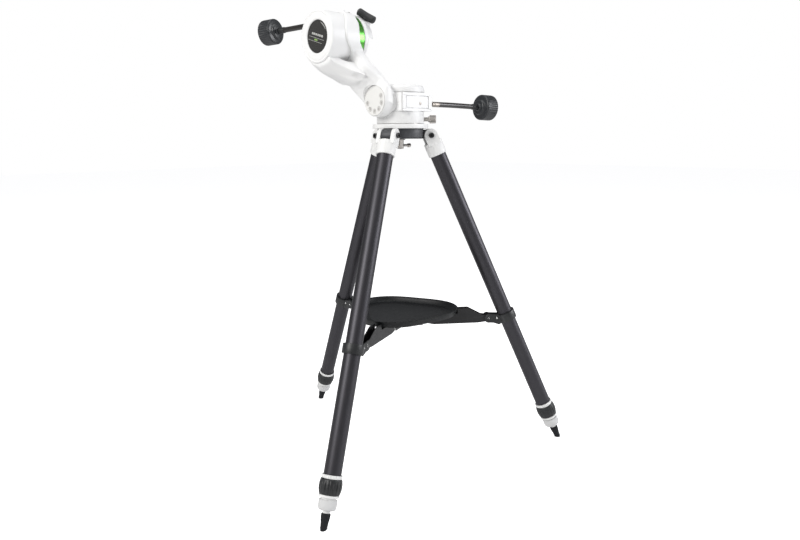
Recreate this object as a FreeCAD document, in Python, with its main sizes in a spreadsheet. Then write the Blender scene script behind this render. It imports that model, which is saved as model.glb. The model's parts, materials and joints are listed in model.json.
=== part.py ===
import FreeCAD, Part
import math
import os
import re
import Sketcher

# Alt azimuth mount on a folding tripod, in millimetres, standing on Z = 0.
# Every sub-part is an object of one document, and its sizes are bound to the sheet below.

V = FreeCAD.Vector
X, Y, Z = V(1, 0, 0), V(0, 1, 0), V(0, 0, 1)

SIZES = {
    # where the azimuth axis stands in the footprint's box
    "axis_x": 66.25, "axis_y": 24.62,
    # tripod: hinge circle, spread and leg lengths (measured down the leg from its hinge)
    "hinge_ring": 59.7, "hinge_up": 668.4, "spread_deg": 23.7, "leg_turn_deg": 52,
    "head_top": 682, "head_thick": 20, "head_rad": 46, "lug_wide": 21, "lug_rad": 12,
    "ear_rad": 13.25, "ear_thick": 7.4, "ear_gap": 0.4, "hinge_pin_rad": 4, "bolt_head_rad": 5.3,
    "bolt_head_long": 4, "running_fit": 0.05,
    "tube_dia": 32, "tube_wall": 1.5, "tube_start": 20, "tube_end": 637,
    "socket_dia": 37.5, "socket_start": 13.4, "socket_end": 41.6,
    "inner_dia": 28.6, "inner_start": 90, "inner_wall": 1.3,
    "end_ring_dia": 37, "end_ring_long": 6.3,
    "nut_start": 643.6, "nut_end": 670.7, "nut_dia": 41.5, "nut_small_dia": 36, "flutes": 20,
    "flange_start": 671, "flange_dia": 37, "neck_dia": 27, "sleeve_start": 678.7, "sleeve_dia": 33.5,
    "sleeve_end": 697.7, "spigot_dia": 13.6, "tip_start": 702.2, "tip_dia": 16.8, "tip_end_dia": 10.5,
    "tip_end": 735,
    # collar, bracket and spreader
    "collar_start": 406.7, "collar_end": 424.7, "collar_dia": 40, "cheek_gap": 17, "cheek_thick": 2.2,
    "brace_ring": 186.5, "brace_up": 284, "brace_pin_rad": 2.5,
    "arm_wide": 16, "arm_wall": 1.6, "arm_low": 275, "arm_high": 296.5, "hump_high": 307.5,
    "hump_start": 119, "hump_end": 143, "channel_start": 54, "tongue_start": 34, "tongue_thick": 5,
    "hub_rad": 30, "hub_pin_ring": 20, "hub_low": 272, "hub_high": 299,
    "tray_low": 299.2, "tray_floor": 1.4, "tray_high": 312, "tray_corner_rad": 119, "tray_side_rad": 117,
    "tray_wall": 1.6,
    # centre bolt under the tripod head
    "bolt_rad": 4.7, "bolt_boss_rad": 6.25, "bolt_boss_drop": 20, "bar_rad": 2.5, "bar_long": 44,
    # azimuth unit, heights above the tripod head
    "flange_rad": 55.75, "flange_high": 8.5, "base_rad": 47, "base_high": 32, "spindle_rad": 8,
    "washer_thick": 1, "housing_low": 33, "housing_high": 69.2, "housing_rad": 45.5, "wall": 4,
    "cap_rad": 47.8, "cap_high": 83, "lock_up": 18, "lock_deg": 45, "lock_rad": 3.9, "lock_head_rad": 8.25,
    "lock_head_long": 13, "lock_reach": 71,
    "box_face": 46, "box_front": 38, "box_back": 40, "box_high": 67.5,
    "worm_rad": 6, "azimuth_worm_out": 37, "wheel_thick": 12, "worm_gap": 0.2, "worm_shaft_rad": 3.5,
    "bush_wall": 0.4, "azimuth_worm_up": 47.5, "wheel_teeth": 48, "worm_half_long": 13,
    "azimuth_shaft_end": 60, "altitude_shaft_end": 58,
    # tilting arm: pivot height above the tripod head, length to the altitude axis, lean
    "pivot_up": 52.5, "arm_long": 135, "lean_deg": 30, "boss_rad": 32, "boss_back": 48.6,
    "boss_front": 69.6, "trunnion_rad": 24, "neck_rad": 28, "disc_rad": 28, "disc_front": 70.2,
    "disc_thick": 4, "screw_ring_rad": 20, "screw_start_deg": 24, "screw_step_deg": 38, "screw_rad": 2.5,
    "screw_head_rad": 4.3,
    # drum on the altitude axis, distances forward of the azimuth axis
    "drum_rad": 48, "drum_back": 96, "drum_front": 150, "rim_front": 153, "label_rad": 29.8,
    "groove_rad": 43.5, "bearing_rad": 16, "hub_back": 81.2, "back_wall": 5, "strap_rad": 51,
    "strap_back": 84, "strap_front": 112, "ring_back": 72.5, "ring_web": 80.7, "ring_front": 95.3,
    "ring_rad": 46.5, "altitude_worm_at": 110, "altitude_worm_up": 32.8,
    # saddle behind the slip ring
    "saddle_back": 64, "saddle_rad": 47, "saddle_turn_deg": 36, "jaw_back": 46, "groove_half": 21,
    "jaw_lift": 26, "jaw_top": 39.6, "knob_foot": 46.6,
    # slow motion controls
    "ferrule_rad": 5.2, "ferrule_long": 22, "cable_rad": 5.2, "bend_radius": 260, "cable_lead": 12,
    "azimuth_bend_deg": 11, "altitude_bend_deg": 15, "azimuth_cable_tail": 47.4,
    "altitude_cable_tail": 12.5, "droop_deg": 11,
    "knob_rad": 26.9, "knob_thick": 30, "knob_hub_rad": 13, "knob_hub_long": 8,
}

doc = FreeCAD.newDocument("alt_azimuth_mount")
sheet = doc.addObject("Spreadsheet::Sheet", "Sizes")
for row, (alias, number) in enumerate(SIZES.items(), start=1):
    sheet.set(f"A{row}", alias)
    sheet.set(f"B{row}", str(number))
    sheet.setAlias(f"B{row}", alias)
doc.recompute()


def cells(text):
    """An expression written with the sheet's aliases, as the document reads it."""
    return re.sub(r"[a-z]\w*", r"Sizes.\g<0>", text)


def value(size):
    """The number behind an expression, or the number itself."""
    return float(sheet.evalExpression(cells(size))) if isinstance(size, str) else float(size)


def bind(thing, name, size):
    if isinstance(size, str):
        thing.setExpression(name, cells(size))
    else:
        setattr(thing, name, size)


def turn(axis, degrees):
    return FreeCAD.Placement(V(), FreeCAD.Rotation(axis, degrees))


def shift(x, y, z):
    return FreeCAD.Placement(V(value(x), value(y), value(z)), FreeCAD.Rotation())


def aim(direction):
    """A turn that takes +Z to the given direction."""
    return FreeCAD.Rotation(Z, direction)


# ---------------------------------------------------------------- shapes

def placed(thing, at, direction):
    thing.Placement = FreeCAD.Placement(V(*[value(c) for c in at]), aim(direction))
    for letter, size in zip("xyz", at):
        if isinstance(size, str):
            thing.setExpression("Placement.Base." + letter, cells(size))
    return thing


def cylinder(radius, height, at=(0, 0, 0), direction=Z):
    thing = doc.addObject("Part::Cylinder", "cylinder")
    bind(thing, "Radius", radius)
    bind(thing, "Height", height)
    return placed(thing, at, direction)


def box(length, width, height, at=(0, 0, 0), direction=Z):
    thing = doc.addObject("Part::Box", "box")
    bind(thing, "Length", length)
    bind(thing, "Width", width)
    bind(thing, "Height", height)
    return placed(thing, at, direction)


def fuse(*things):
    fused = doc.addObject("Part::MultiFuse", "fuse")
    fused.Shapes = list(things)
    fused.Refine = True
    return fused


def group(*things):
    """Separate solids that share one node."""
    compound = doc.addObject("Part::Compound", "group")
    compound.Links = list(things)
    return compound


def cut(base, *tools):
    result = doc.addObject("Part::Cut", "cut")
    result.Base = base
    result.Tool = tools[0] if len(tools) == 1 else group(*tools)
    return result


def common(base, tool):
    result = doc.addObject("Part::Common", "common")
    result.Base = base
    result.Tool = tool
    return result


def moved(thing, placement):
    """The same shape in another place of the sub-part's own frame."""
    holder = group(thing)
    holder.Placement = placement
    return holder


def around(thing, count, axis=Z, step=None, start=0):
    """Copies of one shape in steps about an axis."""
    step = 360 / count if step is None else step
    copies = []
    for i in range(count):
        link = doc.addObject("Part::Compound", "copy")
        link.Links = [thing]
        link.Placement = turn(axis, start + i * step)
        copies.append(link)
    return copies


def sketch_on(body, role):
    sketch = body.newObject("Sketcher::SketchObject", "outline")
    plane = next(f for f in body.Origin.OriginFeatures if f.Role == role)
    sketch.AttachmentSupport = [(plane, "")]
    sketch.MapMode = "FlatFace"
    return sketch


def outline(sketch, points):
    """A closed outline of straight edges, each corner bound to the sheet."""
    spots = [V(value(x), value(y), 0) for x, y in points]
    count = len(points)
    for i in range(count):
        sketch.addGeometry(Part.LineSegment(spots[i], spots[(i + 1) % count]))
    for i in range(count):
        sketch.addConstraint(Sketcher.Constraint("Coincident", i, 2, (i + 1) % count, 1))
    for i, corner in enumerate(points):
        for kind, axis, size in (("DistanceX", -2, corner[0]), ("DistanceY", -1, corner[1])):
            if size == 0:
                sketch.addConstraint(Sketcher.Constraint("PointOnObject", i, 1, axis))
                continue
            number = sketch.addConstraint(Sketcher.Constraint(kind, -1, 1, i, 1, value(size)))
            if isinstance(size, str):
                sketch.setExpression(f"Constraints[{number}]", cells(size))


def turned(points):
    """A body turned about its own Z axis from (radius, height) corners."""
    body = doc.addObject("PartDesign::Body", "turned")
    sketch = sketch_on(body, "XZ_Plane")
    outline(sketch, points)
    feature = body.newObject("PartDesign::Revolution", "revolution")
    feature.Profile = sketch
    feature.ReferenceAxis = (sketch, ["V_Axis"])
    feature.Angle = 360
    body.Tip = feature
    return body


def padded(role, points, length, both_ways=True):
    """A body padded from an outline on one of its own planes."""
    body = doc.addObject("PartDesign::Body", "padded")
    sketch = sketch_on(body, role)
    outline(sketch, points)
    feature = body.newObject("PartDesign::Pad", "pad")
    feature.Profile = sketch
    bind(feature, "Length", length)
    feature.Midplane = both_ways
    body.Tip = feature
    return body


def ring(inner, outer, low, high):
    return turned([(inner, low), (outer, low), (outer, high), (inner, high)])


parts = []


def part(name, thing, placement):
    """Names a sub-part, puts it in its place and keeps it for the export."""
    whole = thing if thing.TypeId in ("Part::Cut", "Part::MultiFuse", "Part::Common") else group(thing)
    whole.Label = name
    whole.Placement = placement
    parts.append(whole)
    return whole


# ---------------------------------------------------------------- frames

axis = shift("axis_x", "axis_y", 0)
head = axis * shift(0, 0, "head_top")
front = turn(X, 90)                      # takes +Z to the front, which is -Y
pivot = head * shift(0, 0, "pivot_up")
swing = pivot * turn(Y, -value("lean_deg"))
altitude = swing * shift(0, 0, "arm_long") * turn(Y, value("lean_deg"))
saddle_frame = altitude * turn(Y, value("saddle_turn_deg"))
leg_angles = {name: value("leg_turn_deg") + 120 * i for i, name in enumerate("abc")}


def leg_frame(name):
    """Origin on the leg's hinge, +Z down the leg, +Y along the hinge, +X inwards."""
    spoke = axis * turn(Z, leg_angles[name]) * shift("hinge_ring", 0, "hinge_up")
    return spoke * turn(Y, 180 - value("spread_deg"))


def spoke_frame(name):
    """Origin on the azimuth axis at the floor, +X towards the leg."""
    return axis * turn(Z, leg_angles[name])


# ---------------------------------------------------------------- tripod head

def tripod_head():
    disc = turned([(0, "head_top - head_thick"), ("head_rad - 3", "head_top - head_thick"),
                   ("head_rad", "head_top - head_thick + 3"), ("head_rad", "head_top - 1"),
                   ("head_rad - 1", "head_top"), (0, "head_top")])
    lugs = []
    for angle in leg_angles.values():
        block = box("hinge_ring - 30", "lug_wide", "head_thick - 2.6",
                    (30, "-lug_wide / 2", "head_top - head_thick + 0.4"))
        knuckle = cylinder("lug_rad", "lug_wide", ("hinge_ring", "-lug_wide / 2", "hinge_up"), Y)
        lug = fuse(block, knuckle)
        bore = cylinder("hinge_pin_rad", "lug_wide + 2", ("hinge_ring", "-lug_wide / 2 - 1", "hinge_up"), Y)
        lugs.append(moved(cut(lug, bore), turn(Z, angle)))
    hole = cylinder("bolt_rad + running_fit", "head_thick + 2", (0, 0, "head_top - head_thick - 1"))
    part("tripod_head", cut(fuse(disc, *lugs), hole), axis)


def hinge_bolts():
    reach = "lug_wide / 2 + ear_gap + ear_thick + 0.1"
    bolts = []
    for angle in leg_angles.values():
        shank = cylinder("hinge_pin_rad", f"2 * ({reach})", ("hinge_ring", f"-({reach})", "hinge_up"), Y)
        solid = [shank]
        sockets = []
        for side, base in ((1, f"{reach}"), (-1, f"-({reach})")):
            facing = V(0, side, 0)
            head_foot = ("hinge_ring", base, "hinge_up")
            solid.append(cylinder("bolt_head_rad", "bolt_head_long", head_foot, facing))
            socket = doc.addObject("Part::Prism", "hex_socket")
            socket.Polygon = 6
            bind(socket, "Circumradius", "bolt_head_rad * 0.55")
            bind(socket, "Height", "bolt_head_long")
            offset = f"({reach} + bolt_head_long * 0.4) * {side}"
            sockets.append(placed(socket, ("hinge_ring", offset, "hinge_up"), facing))
        bolts.append(moved(cut(fuse(*solid), *sockets), turn(Z, angle)))
    part("leg_hinge_bolts", group(*bolts), axis)


def centre_bolt():
    boss_low = "head_top - head_thick - bolt_boss_drop"
    boss = turned([(0, boss_low), ("bolt_boss_rad - 1", boss_low), ("bolt_boss_rad", boss_low + " + 1"),
                   ("bolt_boss_rad", "head_top - head_thick - 2.4"),
                   ("bolt_boss_rad + 3", "head_top - head_thick - 2.4"),
                   ("bolt_boss_rad + 3", "head_top - head_thick - 0.2"),
                   ("bolt_rad", "head_top - head_thick - 0.2"), ("bolt_rad", "head_top + 11"),
                   ("bolt_rad - 1", "head_top + 12"), (0, "head_top + 12")])
    bar_up = "head_top - head_thick - bolt_boss_drop * 0.65"
    bore = cylinder("bar_rad + running_fit", 40, (0, -20, bar_up), Y)
    part("centre_bolt", cut(boss, bore), axis)
    bar = cylinder("bar_rad", "bar_long", (0, "-bar_long / 2", bar_up), Y)
    knobs = [cylinder("bar_rad + 1.5", 5, (0, "bar_long / 2 - 0.5", bar_up), Y),
             cylinder("bar_rad + 1.5", 5, (0, "0.5 - bar_long / 2", bar_up), -Y)]
    part("centre_bolt_bar", fuse(bar, *knobs), axis)


# ---------------------------------------------------------------- legs

def leg_yoke(name):
    inner = "lug_wide / 2 + ear_gap"
    ears = []
    for side in (1, -1):
        base = f"({inner}) * {side}" if side == 1 else f"-({inner}) - ear_thick"
        ears.append(cylinder("ear_rad", "ear_thick", (0, base, 0), Y))
        ears.append(box("2 * ear_rad", "ear_thick", "tube_start", ("-ear_rad", base, 0)))
    socket = turned([(0, "socket_start"), ("socket_dia / 2 - 1.5", "socket_start"),
                     ("socket_dia / 2", "socket_start + 1.5"), ("socket_dia / 2", "socket_end - 1"),
                     ("socket_dia / 2 - 1", "socket_end"), ("tube_dia / 2", "socket_end"),
                     ("tube_dia / 2", "tube_start"), (0, "tube_start")])
    bore = cylinder("hinge_pin_rad + running_fit", 60, (0, -30, 0), Y)
    relief = cylinder("lug_rad + 1", "2 * lug_wide / 2 + 2 * ear_gap", (0, f"-({inner})", 0), Y)
    part("leg_yoke_" + name, cut(fuse(socket, *ears), bore, relief), leg_frame(name))


def leg_tube(name):
    tube = ring("tube_dia / 2 - tube_wall", "tube_dia / 2", "tube_start", "tube_end")
    end = turned([("tube_dia / 2 - tube_wall", "tube_end"), ("end_ring_dia / 2 - 0.8", "tube_end"),
                  ("end_ring_dia / 2", "tube_end + 0.8"),
                  ("end_ring_dia / 2", "tube_end + end_ring_long - 0.8"),
                  ("end_ring_dia / 2 - 0.8", "tube_end + end_ring_long"),
                  ("tube_dia / 2 - tube_wall", "tube_end + end_ring_long")])
    part("leg_tube_" + name, group(tube, end), leg_frame(name))


def brace_point():
    """The spreader's pivot in the leg's frame: distance inwards, distance down the leg."""
    tilt = math.radians(value("spread_deg"))
    out = value("brace_ring") - value("hinge_ring")
    down = value("hinge_up") - value("brace_up")
    return down * math.sin(tilt) - out * math.cos(tilt), out * math.sin(tilt) + down * math.cos(tilt)


def leg_collar(name):
    inwards, along = brace_point()
    band = cylinder("collar_dia / 2", "collar_end - collar_start", (0, 0, "collar_start"))
    cheeks = []
    for base in ("cheek_gap / 2", "-cheek_gap / 2 - cheek_thick"):
        lobe = padded("XZ_Plane", [(12, "collar_start"), (inwards, along - 9.5), (inwards + 6, along + 7.4),
                                   (inwards - 5, along + 13), (24, "collar_end"), (12, "collar_end")], "cheek_thick")
        cheeks.append(moved(lobe, shift(0, f"{base} + cheek_thick / 2", 0)))
        cheeks.append(cylinder(9.5, "cheek_thick", (inwards, base, along), Y))
    web = box(5, "cheek_gap + 2 * cheek_thick", "collar_end - collar_start",
              ("collar_dia / 2 - 4", "-cheek_gap / 2 - cheek_thick", "collar_start"))
    bore = cylinder("tube_dia / 2", 60, (0, 0, "collar_start - 20"))
    holes = cylinder("brace_pin_rad", 40, (inwards, -20, along), Y)
    collar = cut(fuse(band, web, *cheeks), bore, holes)
    pin_long = "cheek_gap + 2 * cheek_thick + 3"
    pin = cylinder("brace_pin_rad", pin_long, (inwards, f"-({pin_long}) / 2", along), Y)
    part("leg_collar_" + name, group(collar, pin), leg_frame(name))


def twist_nut(name):
    shell = turned([("inner_dia / 2 + 0.4", "nut_start"), ("nut_dia / 2 - 1.2", "nut_start"),
                    ("nut_dia / 2", "nut_start + 1.2"), ("nut_dia / 2", "nut_end - 12"),
                    ("nut_small_dia / 2", "nut_end - 1"), ("nut_small_dia / 2 - 1", "nut_end"),
                    ("inner_dia / 2 + 0.4", "nut_end")])
    flute = cylinder(1.6, "nut_end - nut_start - 5", ("nut_dia / 2 + 0.5", 0, "nut_start + 2.5"))
    part("twist_nut_" + name, cut(shell, *around(flute, int(value("flutes")))), leg_frame(name))


def inner_leg(name):
    radius = "inner_dia / 2"
    shell = turned([(f"{radius} - inner_wall", "inner_start"), (radius, "inner_start"),
                    (radius, "flange_start"), ("flange_dia / 2", "flange_start"),
                    ("flange_dia / 2", "flange_start + 4.2"), ("neck_dia / 2", "flange_start + 5.4"),
                    ("neck_dia / 2 + 0.6", "sleeve_start"), ("sleeve_dia / 2 - 0.8", "sleeve_start"),
                    ("sleeve_dia / 2", "sleeve_start + 0.8"), ("sleeve_dia / 2", "sleeve_end - 6"),
                    ("sleeve_dia / 2 - 1.8", "sleeve_end - 2.2"), ("sleeve_dia / 2 - 5", "sleeve_end"),
                    ("spigot_dia / 2", "sleeve_end"), ("spigot_dia / 2", "tip_start"),
                    ("spigot_dia / 2 - 2.5", "tip_start"), ("spigot_dia / 2 - 2.5", "tip_start + 12"),
                    (0, "tip_start + 12"), (0, "flange_start - 12"),
                    (f"{radius} - inner_wall", "flange_start - 12")])
    part("inner_leg_" + name, shell, leg_frame(name))


def rubber_foot(name):
    tip = turned([("spigot_dia / 2 - 2.5", "tip_start"), ("tip_dia / 2 - 0.6", "tip_start"),
                  ("tip_dia / 2", "tip_start + 0.8"), ("tip_dia / 2", "tip_start + 5"),
                  ("tip_end_dia / 2 + 0.6", "tip_end - 8"), ("tip_end_dia / 2", "tip_end"),
                  (0, "tip_end"), (0, "tip_start + 12"), ("spigot_dia / 2 - 2.5", "tip_start + 12")])
    floor = box(80, 80, 30, (-40, -40, 0))
    tilt = value("spread_deg")
    along = value("hinge_up") / math.cos(math.radians(tilt))
    level = shift(0, 0, along) * turn(Y, tilt)
    part("rubber_foot_" + name, cut(tip, moved(floor, level)), leg_frame(name))


def spreader_arm(name):
    """A folded steel channel, pinned to the leg's bracket, its tongue inside the hub's cheeks."""
    side = padded("XZ_Plane", [("channel_start", "arm_low + 3"), ("channel_start + 14", "arm_low"),
                               ("brace_ring - 24", "arm_low"), ("brace_ring + 5", "brace_up - 6"),
                               ("brace_ring + 5", "brace_up + 6"), ("brace_ring - 14", "brace_up + 8"),
                               ("hump_end + 26", "arm_high - 3"), ("hump_end", "hump_high"),
                               ("hump_start", "hump_high"), ("hump_start", "arm_high"),
                               ("channel_start", "arm_high")], "arm_wide")
    hollow = box("brace_ring + 20 - channel_start", "arm_wide - 2 * arm_wall", "hump_high - arm_low",
                 ("channel_start - 10", "arm_wall - arm_wide / 2", "arm_low + arm_wall"))
    tongue = box("channel_start - tongue_start + 12", "tongue_thick", "brace_up + 6 - arm_low - 3",
                 ("tongue_start", "-tongue_thick / 2", "arm_low + 3"))
    join = box(8, "arm_wide", "brace_up + 6 - arm_low - 3", ("channel_start", "-arm_wide / 2", "arm_low + 3"))
    bore = cylinder("brace_pin_rad + running_fit", 40, ("brace_ring", -20, "brace_up"), Y)
    part("spreader_arm_" + name, cut(fuse(cut(side, hollow), tongue, join), bore), spoke_frame(name))


def spreader_hub():
    plate = cylinder("hub_rad", 3, (0, 0, "hub_high - 3"))
    core = cylinder(9, "hub_high - hub_low", (0, 0, "hub_low"))
    pieces = [plate, core]
    pins = []
    for angle in leg_angles.values():
        for base in ("tongue_thick / 2 + 1.5", "-tongue_thick / 2 - 3.5"):
            cheek = box(38, 2, "hub_high - hub_low - 3", (6, base, "hub_low + 2"))
            pieces.append(moved(cheek, turn(Z, angle)))
        pin = cylinder("brace_pin_rad", "tongue_thick + 9",
                       ("hub_pin_ring", "-tongue_thick / 2 - 4.5", "brace_up"), Y)
        pins.append(moved(pin, turn(Z, angle)))
    part("spreader_hub", fuse(*pieces, *pins), axis)


def tray_outline(inset):
    """The tray's rounded triangle, its corners on the legs' spokes."""
    points = []
    for middle in leg_angles.values():
        for size, step in (("tray_side_rad", -28), ("tray_corner_rad", -10), ("tray_corner_rad", 10),
                           ("tray_side_rad", 28)):
            spot = math.radians(middle + step)
            points.append((f"({size} - {inset}) * {math.cos(spot):.6f}",
                           f"({size} - {inset}) * {math.sin(spot):.6f}"))
    return points


def tray():
    def prism(inset, low, high):
        body = padded("XY_Plane", tray_outline(inset), f"{high} - ({low})", both_ways=False)
        return moved(body, shift(0, 0, low))

    outside = prism("0", "tray_low", "tray_high")
    inside = prism("tray_wall", "tray_low + tray_floor", "tray_high + 5")
    part("accessory_tray", cut(outside, inside), axis)


# ---------------------------------------------------------------- azimuth unit

def azimuth_base():
    """The flange that bolts to the tripod; the spindle is pressed into it."""
    part("azimuth_base", turned([("spindle_rad", 0), ("flange_rad - 0.8", 0), ("flange_rad", 0.8),
                                 ("flange_rad", "flange_high - 0.8"), ("flange_rad - 0.8", "flange_high"),
                                 ("spindle_rad", "flange_high")]), head)


def azimuth_spindle():
    spindle = turned([("bolt_rad + running_fit", 0), ("spindle_rad", 0), ("spindle_rad", "housing_high - 1"),
                      ("spindle_rad - 1", "housing_high"), ("spindle_rad - 1", "cap_high - 8"),
                      (0, "cap_high - 8"), (0, 14), ("bolt_rad + running_fit", 14)])
    part("azimuth_spindle", spindle, head)


def azimuth_clutch_stack():
    lower = ring("spindle_rad", "base_rad - 6", "flange_high", "flange_high + washer_thick - 0.1")
    wheel_top = "azimuth_worm_up + wheel_thick / 2"
    upper = ring("spindle_rad", 16, f"{wheel_top} + 0.1", f"{wheel_top} + 2.5")
    spring = ring("spindle_rad - 1", 12, "housing_high + 1.5", "housing_high + 3")
    nut = doc.addObject("Part::Prism", "lock_nut")
    nut.Polygon = 6
    bind(nut, "Circumradius", "spindle_rad + 4")
    bind(nut, "Height", 5)
    placed(nut, (0, 0, "housing_high + 3"), Z)
    nut = cut(nut, cylinder("spindle_rad - 1", 20, (0, 0, "housing_high")))
    part("azimuth_clutch_stack", group(lower, upper, spring, nut), head)


def lock_screw():
    spread = value("lock_deg")
    tip = turned([(0, "spindle_rad + 0.6"), ("lock_rad", "spindle_rad + 0.6"),
                  ("lock_rad", "lock_reach - lock_head_long - 2"),
                  ("lock_head_rad - 2", "lock_reach - lock_head_long - 2"),
                  ("lock_head_rad - 2", "lock_reach - lock_head_long"),
                  ("lock_head_rad - 0.8", "lock_reach - lock_head_long"),
                  ("lock_head_rad", "lock_reach - lock_head_long + 0.8"),
                  ("lock_head_rad", "lock_reach - 0.8"), ("lock_head_rad - 0.8", "lock_reach"),
                  (0, "lock_reach")])
    part("azimuth_lock_screw", tip, head * turn(Z, spread) * shift(0, 0, "lock_up") * turn(Y, 90))


def worm_wheel(name, throat, placement):
    """A wheel whose throat takes the worm's round, with tooth gaps cut into it."""
    root = f"{throat} - worm_rad - worm_gap"
    blank = ring("spindle_rad + running_fit", f"{root} + 2.2", "-wheel_thick / 2", "wheel_thick / 2")
    groove = doc.addObject("Part::Torus", "throat")
    bind(groove, "Radius1", throat)
    bind(groove, "Radius2", "worm_rad + worm_gap")
    gap = box(4, 1.2, "wheel_thick + 2", (f"{root} - 1.2", -0.6, "-wheel_thick / 2 - 1"))
    part(name, cut(blank, groove, *around(gap, int(value("wheel_teeth")))), placement)


def worm_ring_cuts(start, end):
    """Thread turns along a worm."""
    cuts = []
    step = 2.6
    for i in range(int((end - start) / step)):
        low = start + i * step
        cuts.append(ring("worm_rad - 1.4", "worm_rad + 1", low, low + 1.2))
    return cuts


def worm(name, half_length, shaft_end, placement):
    """A worm on its own shaft, +Z towards the flexible control."""
    body = turned([(0, -half_length - 8), ("worm_shaft_rad", -half_length - 8), ("worm_shaft_rad", -half_length),
                   ("worm_rad", -half_length), ("worm_rad", half_length), ("worm_shaft_rad", half_length),
                   ("worm_shaft_rad", shaft_end), (0, shaft_end)])
    part(name, cut(body, *worm_ring_cuts(-half_length + 0.8, half_length)), placement)


def worm_bushes(name, half_length, placement):
    outer = "worm_rad + bush_wall"
    low = ring("worm_shaft_rad + running_fit", outer, -half_length - 8, -half_length - 0.5)
    high = ring("worm_shaft_rad + running_fit", outer, half_length + 0.5, half_length + 8)
    part(name, group(low, high), placement)


AZIMUTH_WORM = head * shift("azimuth_worm_out", 0, "azimuth_worm_up") * turn(X, -90)


def azimuth_housing():
    """The turning casting: lower drum with the lock screw, worm box, neck and pivot trunnion."""
    lower = cylinder("base_rad", "base_high - flange_high - washer_thick", (0, 0, "flange_high + washer_thick"))
    upper = cylinder("housing_rad", "housing_high - base_high", (0, 0, "base_high"))
    block = box("box_face - 10", "box_front + box_back", "box_high - housing_low",
                (10, "-box_front", "housing_low"))
    neck = cut(cylinder("neck_rad", "boss_back - 0.6", (0, 0, "pivot_up"), -Y),
               cylinder("cap_rad + 20", 40, (0, 0, "housing_high")))
    trunnion = cylinder("trunnion_rad", "disc_front - disc_thick - cap_rad - 0.05",
                        (0, "-cap_rad - 0.05", "pivot_up"), -Y)
    cavity = cylinder("azimuth_worm_out - 3", "wheel_thick + 6", (0, 0, "azimuth_worm_up - wheel_thick / 2 - 1"))
    bore = cylinder("spindle_rad + running_fit", 80, (0, 0, 0))
    worm_bore = cylinder("worm_rad + bush_wall", "box_front + box_back",
                         ("azimuth_worm_out", "4 - box_front", "azimuth_worm_up"), Y)
    panel = box(3, "box_front + box_back - 16", 23.5, ("box_face - 1", "8 - box_front", "housing_low + 4.5"))
    spread = math.radians(value("lock_deg"))
    outwards = V(math.cos(spread), math.sin(spread), 0)
    lock_bore = cylinder("lock_rad + running_fit", 60, (0, 0, "lock_up"), outwards)
    tapped = [moved(cylinder("screw_rad", 20, (0, "-(disc_front - disc_thick) - 1", 0), Y), p)
              for p in screw_places()]
    body = cut(fuse(lower, upper, block, neck, trunnion), cavity, bore, worm_bore, panel, lock_bore, *tapped)
    part("azimuth_housing", body, head)


def screw_places():
    """The six places round the pivot disc, from two o'clock clockwise."""
    places = []
    for i in range(6):
        angle = value("screw_start_deg") - i * value("screw_step_deg")
        spot = math.radians(angle)
        radius = value("screw_ring_rad")
        places.append(shift(radius * math.cos(spot), 0, value("pivot_up") + radius * math.sin(spot)))
    return places


def worm_end_plate():
    plate = box("box_face - 26", 3, "box_high - housing_low - 2",
                (26, "box_back", "housing_low + 1"))
    hole = cylinder("worm_shaft_rad + running_fit", 20,
                    ("azimuth_worm_out", "box_back - 5", "azimuth_worm_up"), Y)
    part("worm_end_plate", cut(plate, hole), head)


def azimuth_cap():
    cap = turned([("spindle_rad + 6", "housing_high"), ("cap_rad", "housing_high"),
                  ("cap_rad", "cap_high - 6"), ("cap_rad - 1.8", "cap_high - 2.2"),
                  ("cap_rad - 6", "cap_high"),
                  (0, "cap_high"), (0, "cap_high - 4"), ("spindle_rad + 6", "cap_high - 4")])
    part("azimuth_cap", cap, head)


def pivot_disc():
    disc = cylinder("disc_rad", "disc_thick", (0, "-disc_front", "pivot_up"), Y)
    holes = []
    for p in screw_places():
        holes.append(moved(cylinder("screw_rad", 40, (0, "-disc_front - 5", 0), Y), p))
        holes.append(moved(cylinder("screw_head_rad + 0.35", 3, (0, "-disc_front - 0.5", 0), Y), p))
    part("pivot_clamp_disc", cut(disc, *holes), head)
    screws = []
    for p in screw_places():
        top = cylinder("screw_head_rad", 1.9, (0, "-disc_front + 0.6", 0), Y)
        shank = cylinder("screw_rad", 18, (0, "-disc_front + 1", 0), Y)
        socket = doc.addObject("Part::Prism", "hex_socket")
        socket.Polygon = 6
        bind(socket, "Circumradius", "screw_head_rad * 0.55")
        bind(socket, "Height", 1.6)
        placed(socket, (0, "-disc_front + 0.5", 0), Y)
        screws.append(moved(cut(fuse(top, shank), socket), p))
    part("pivot_screws", group(*screws), head)


# ---------------------------------------------------------------- arm and drum

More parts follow.
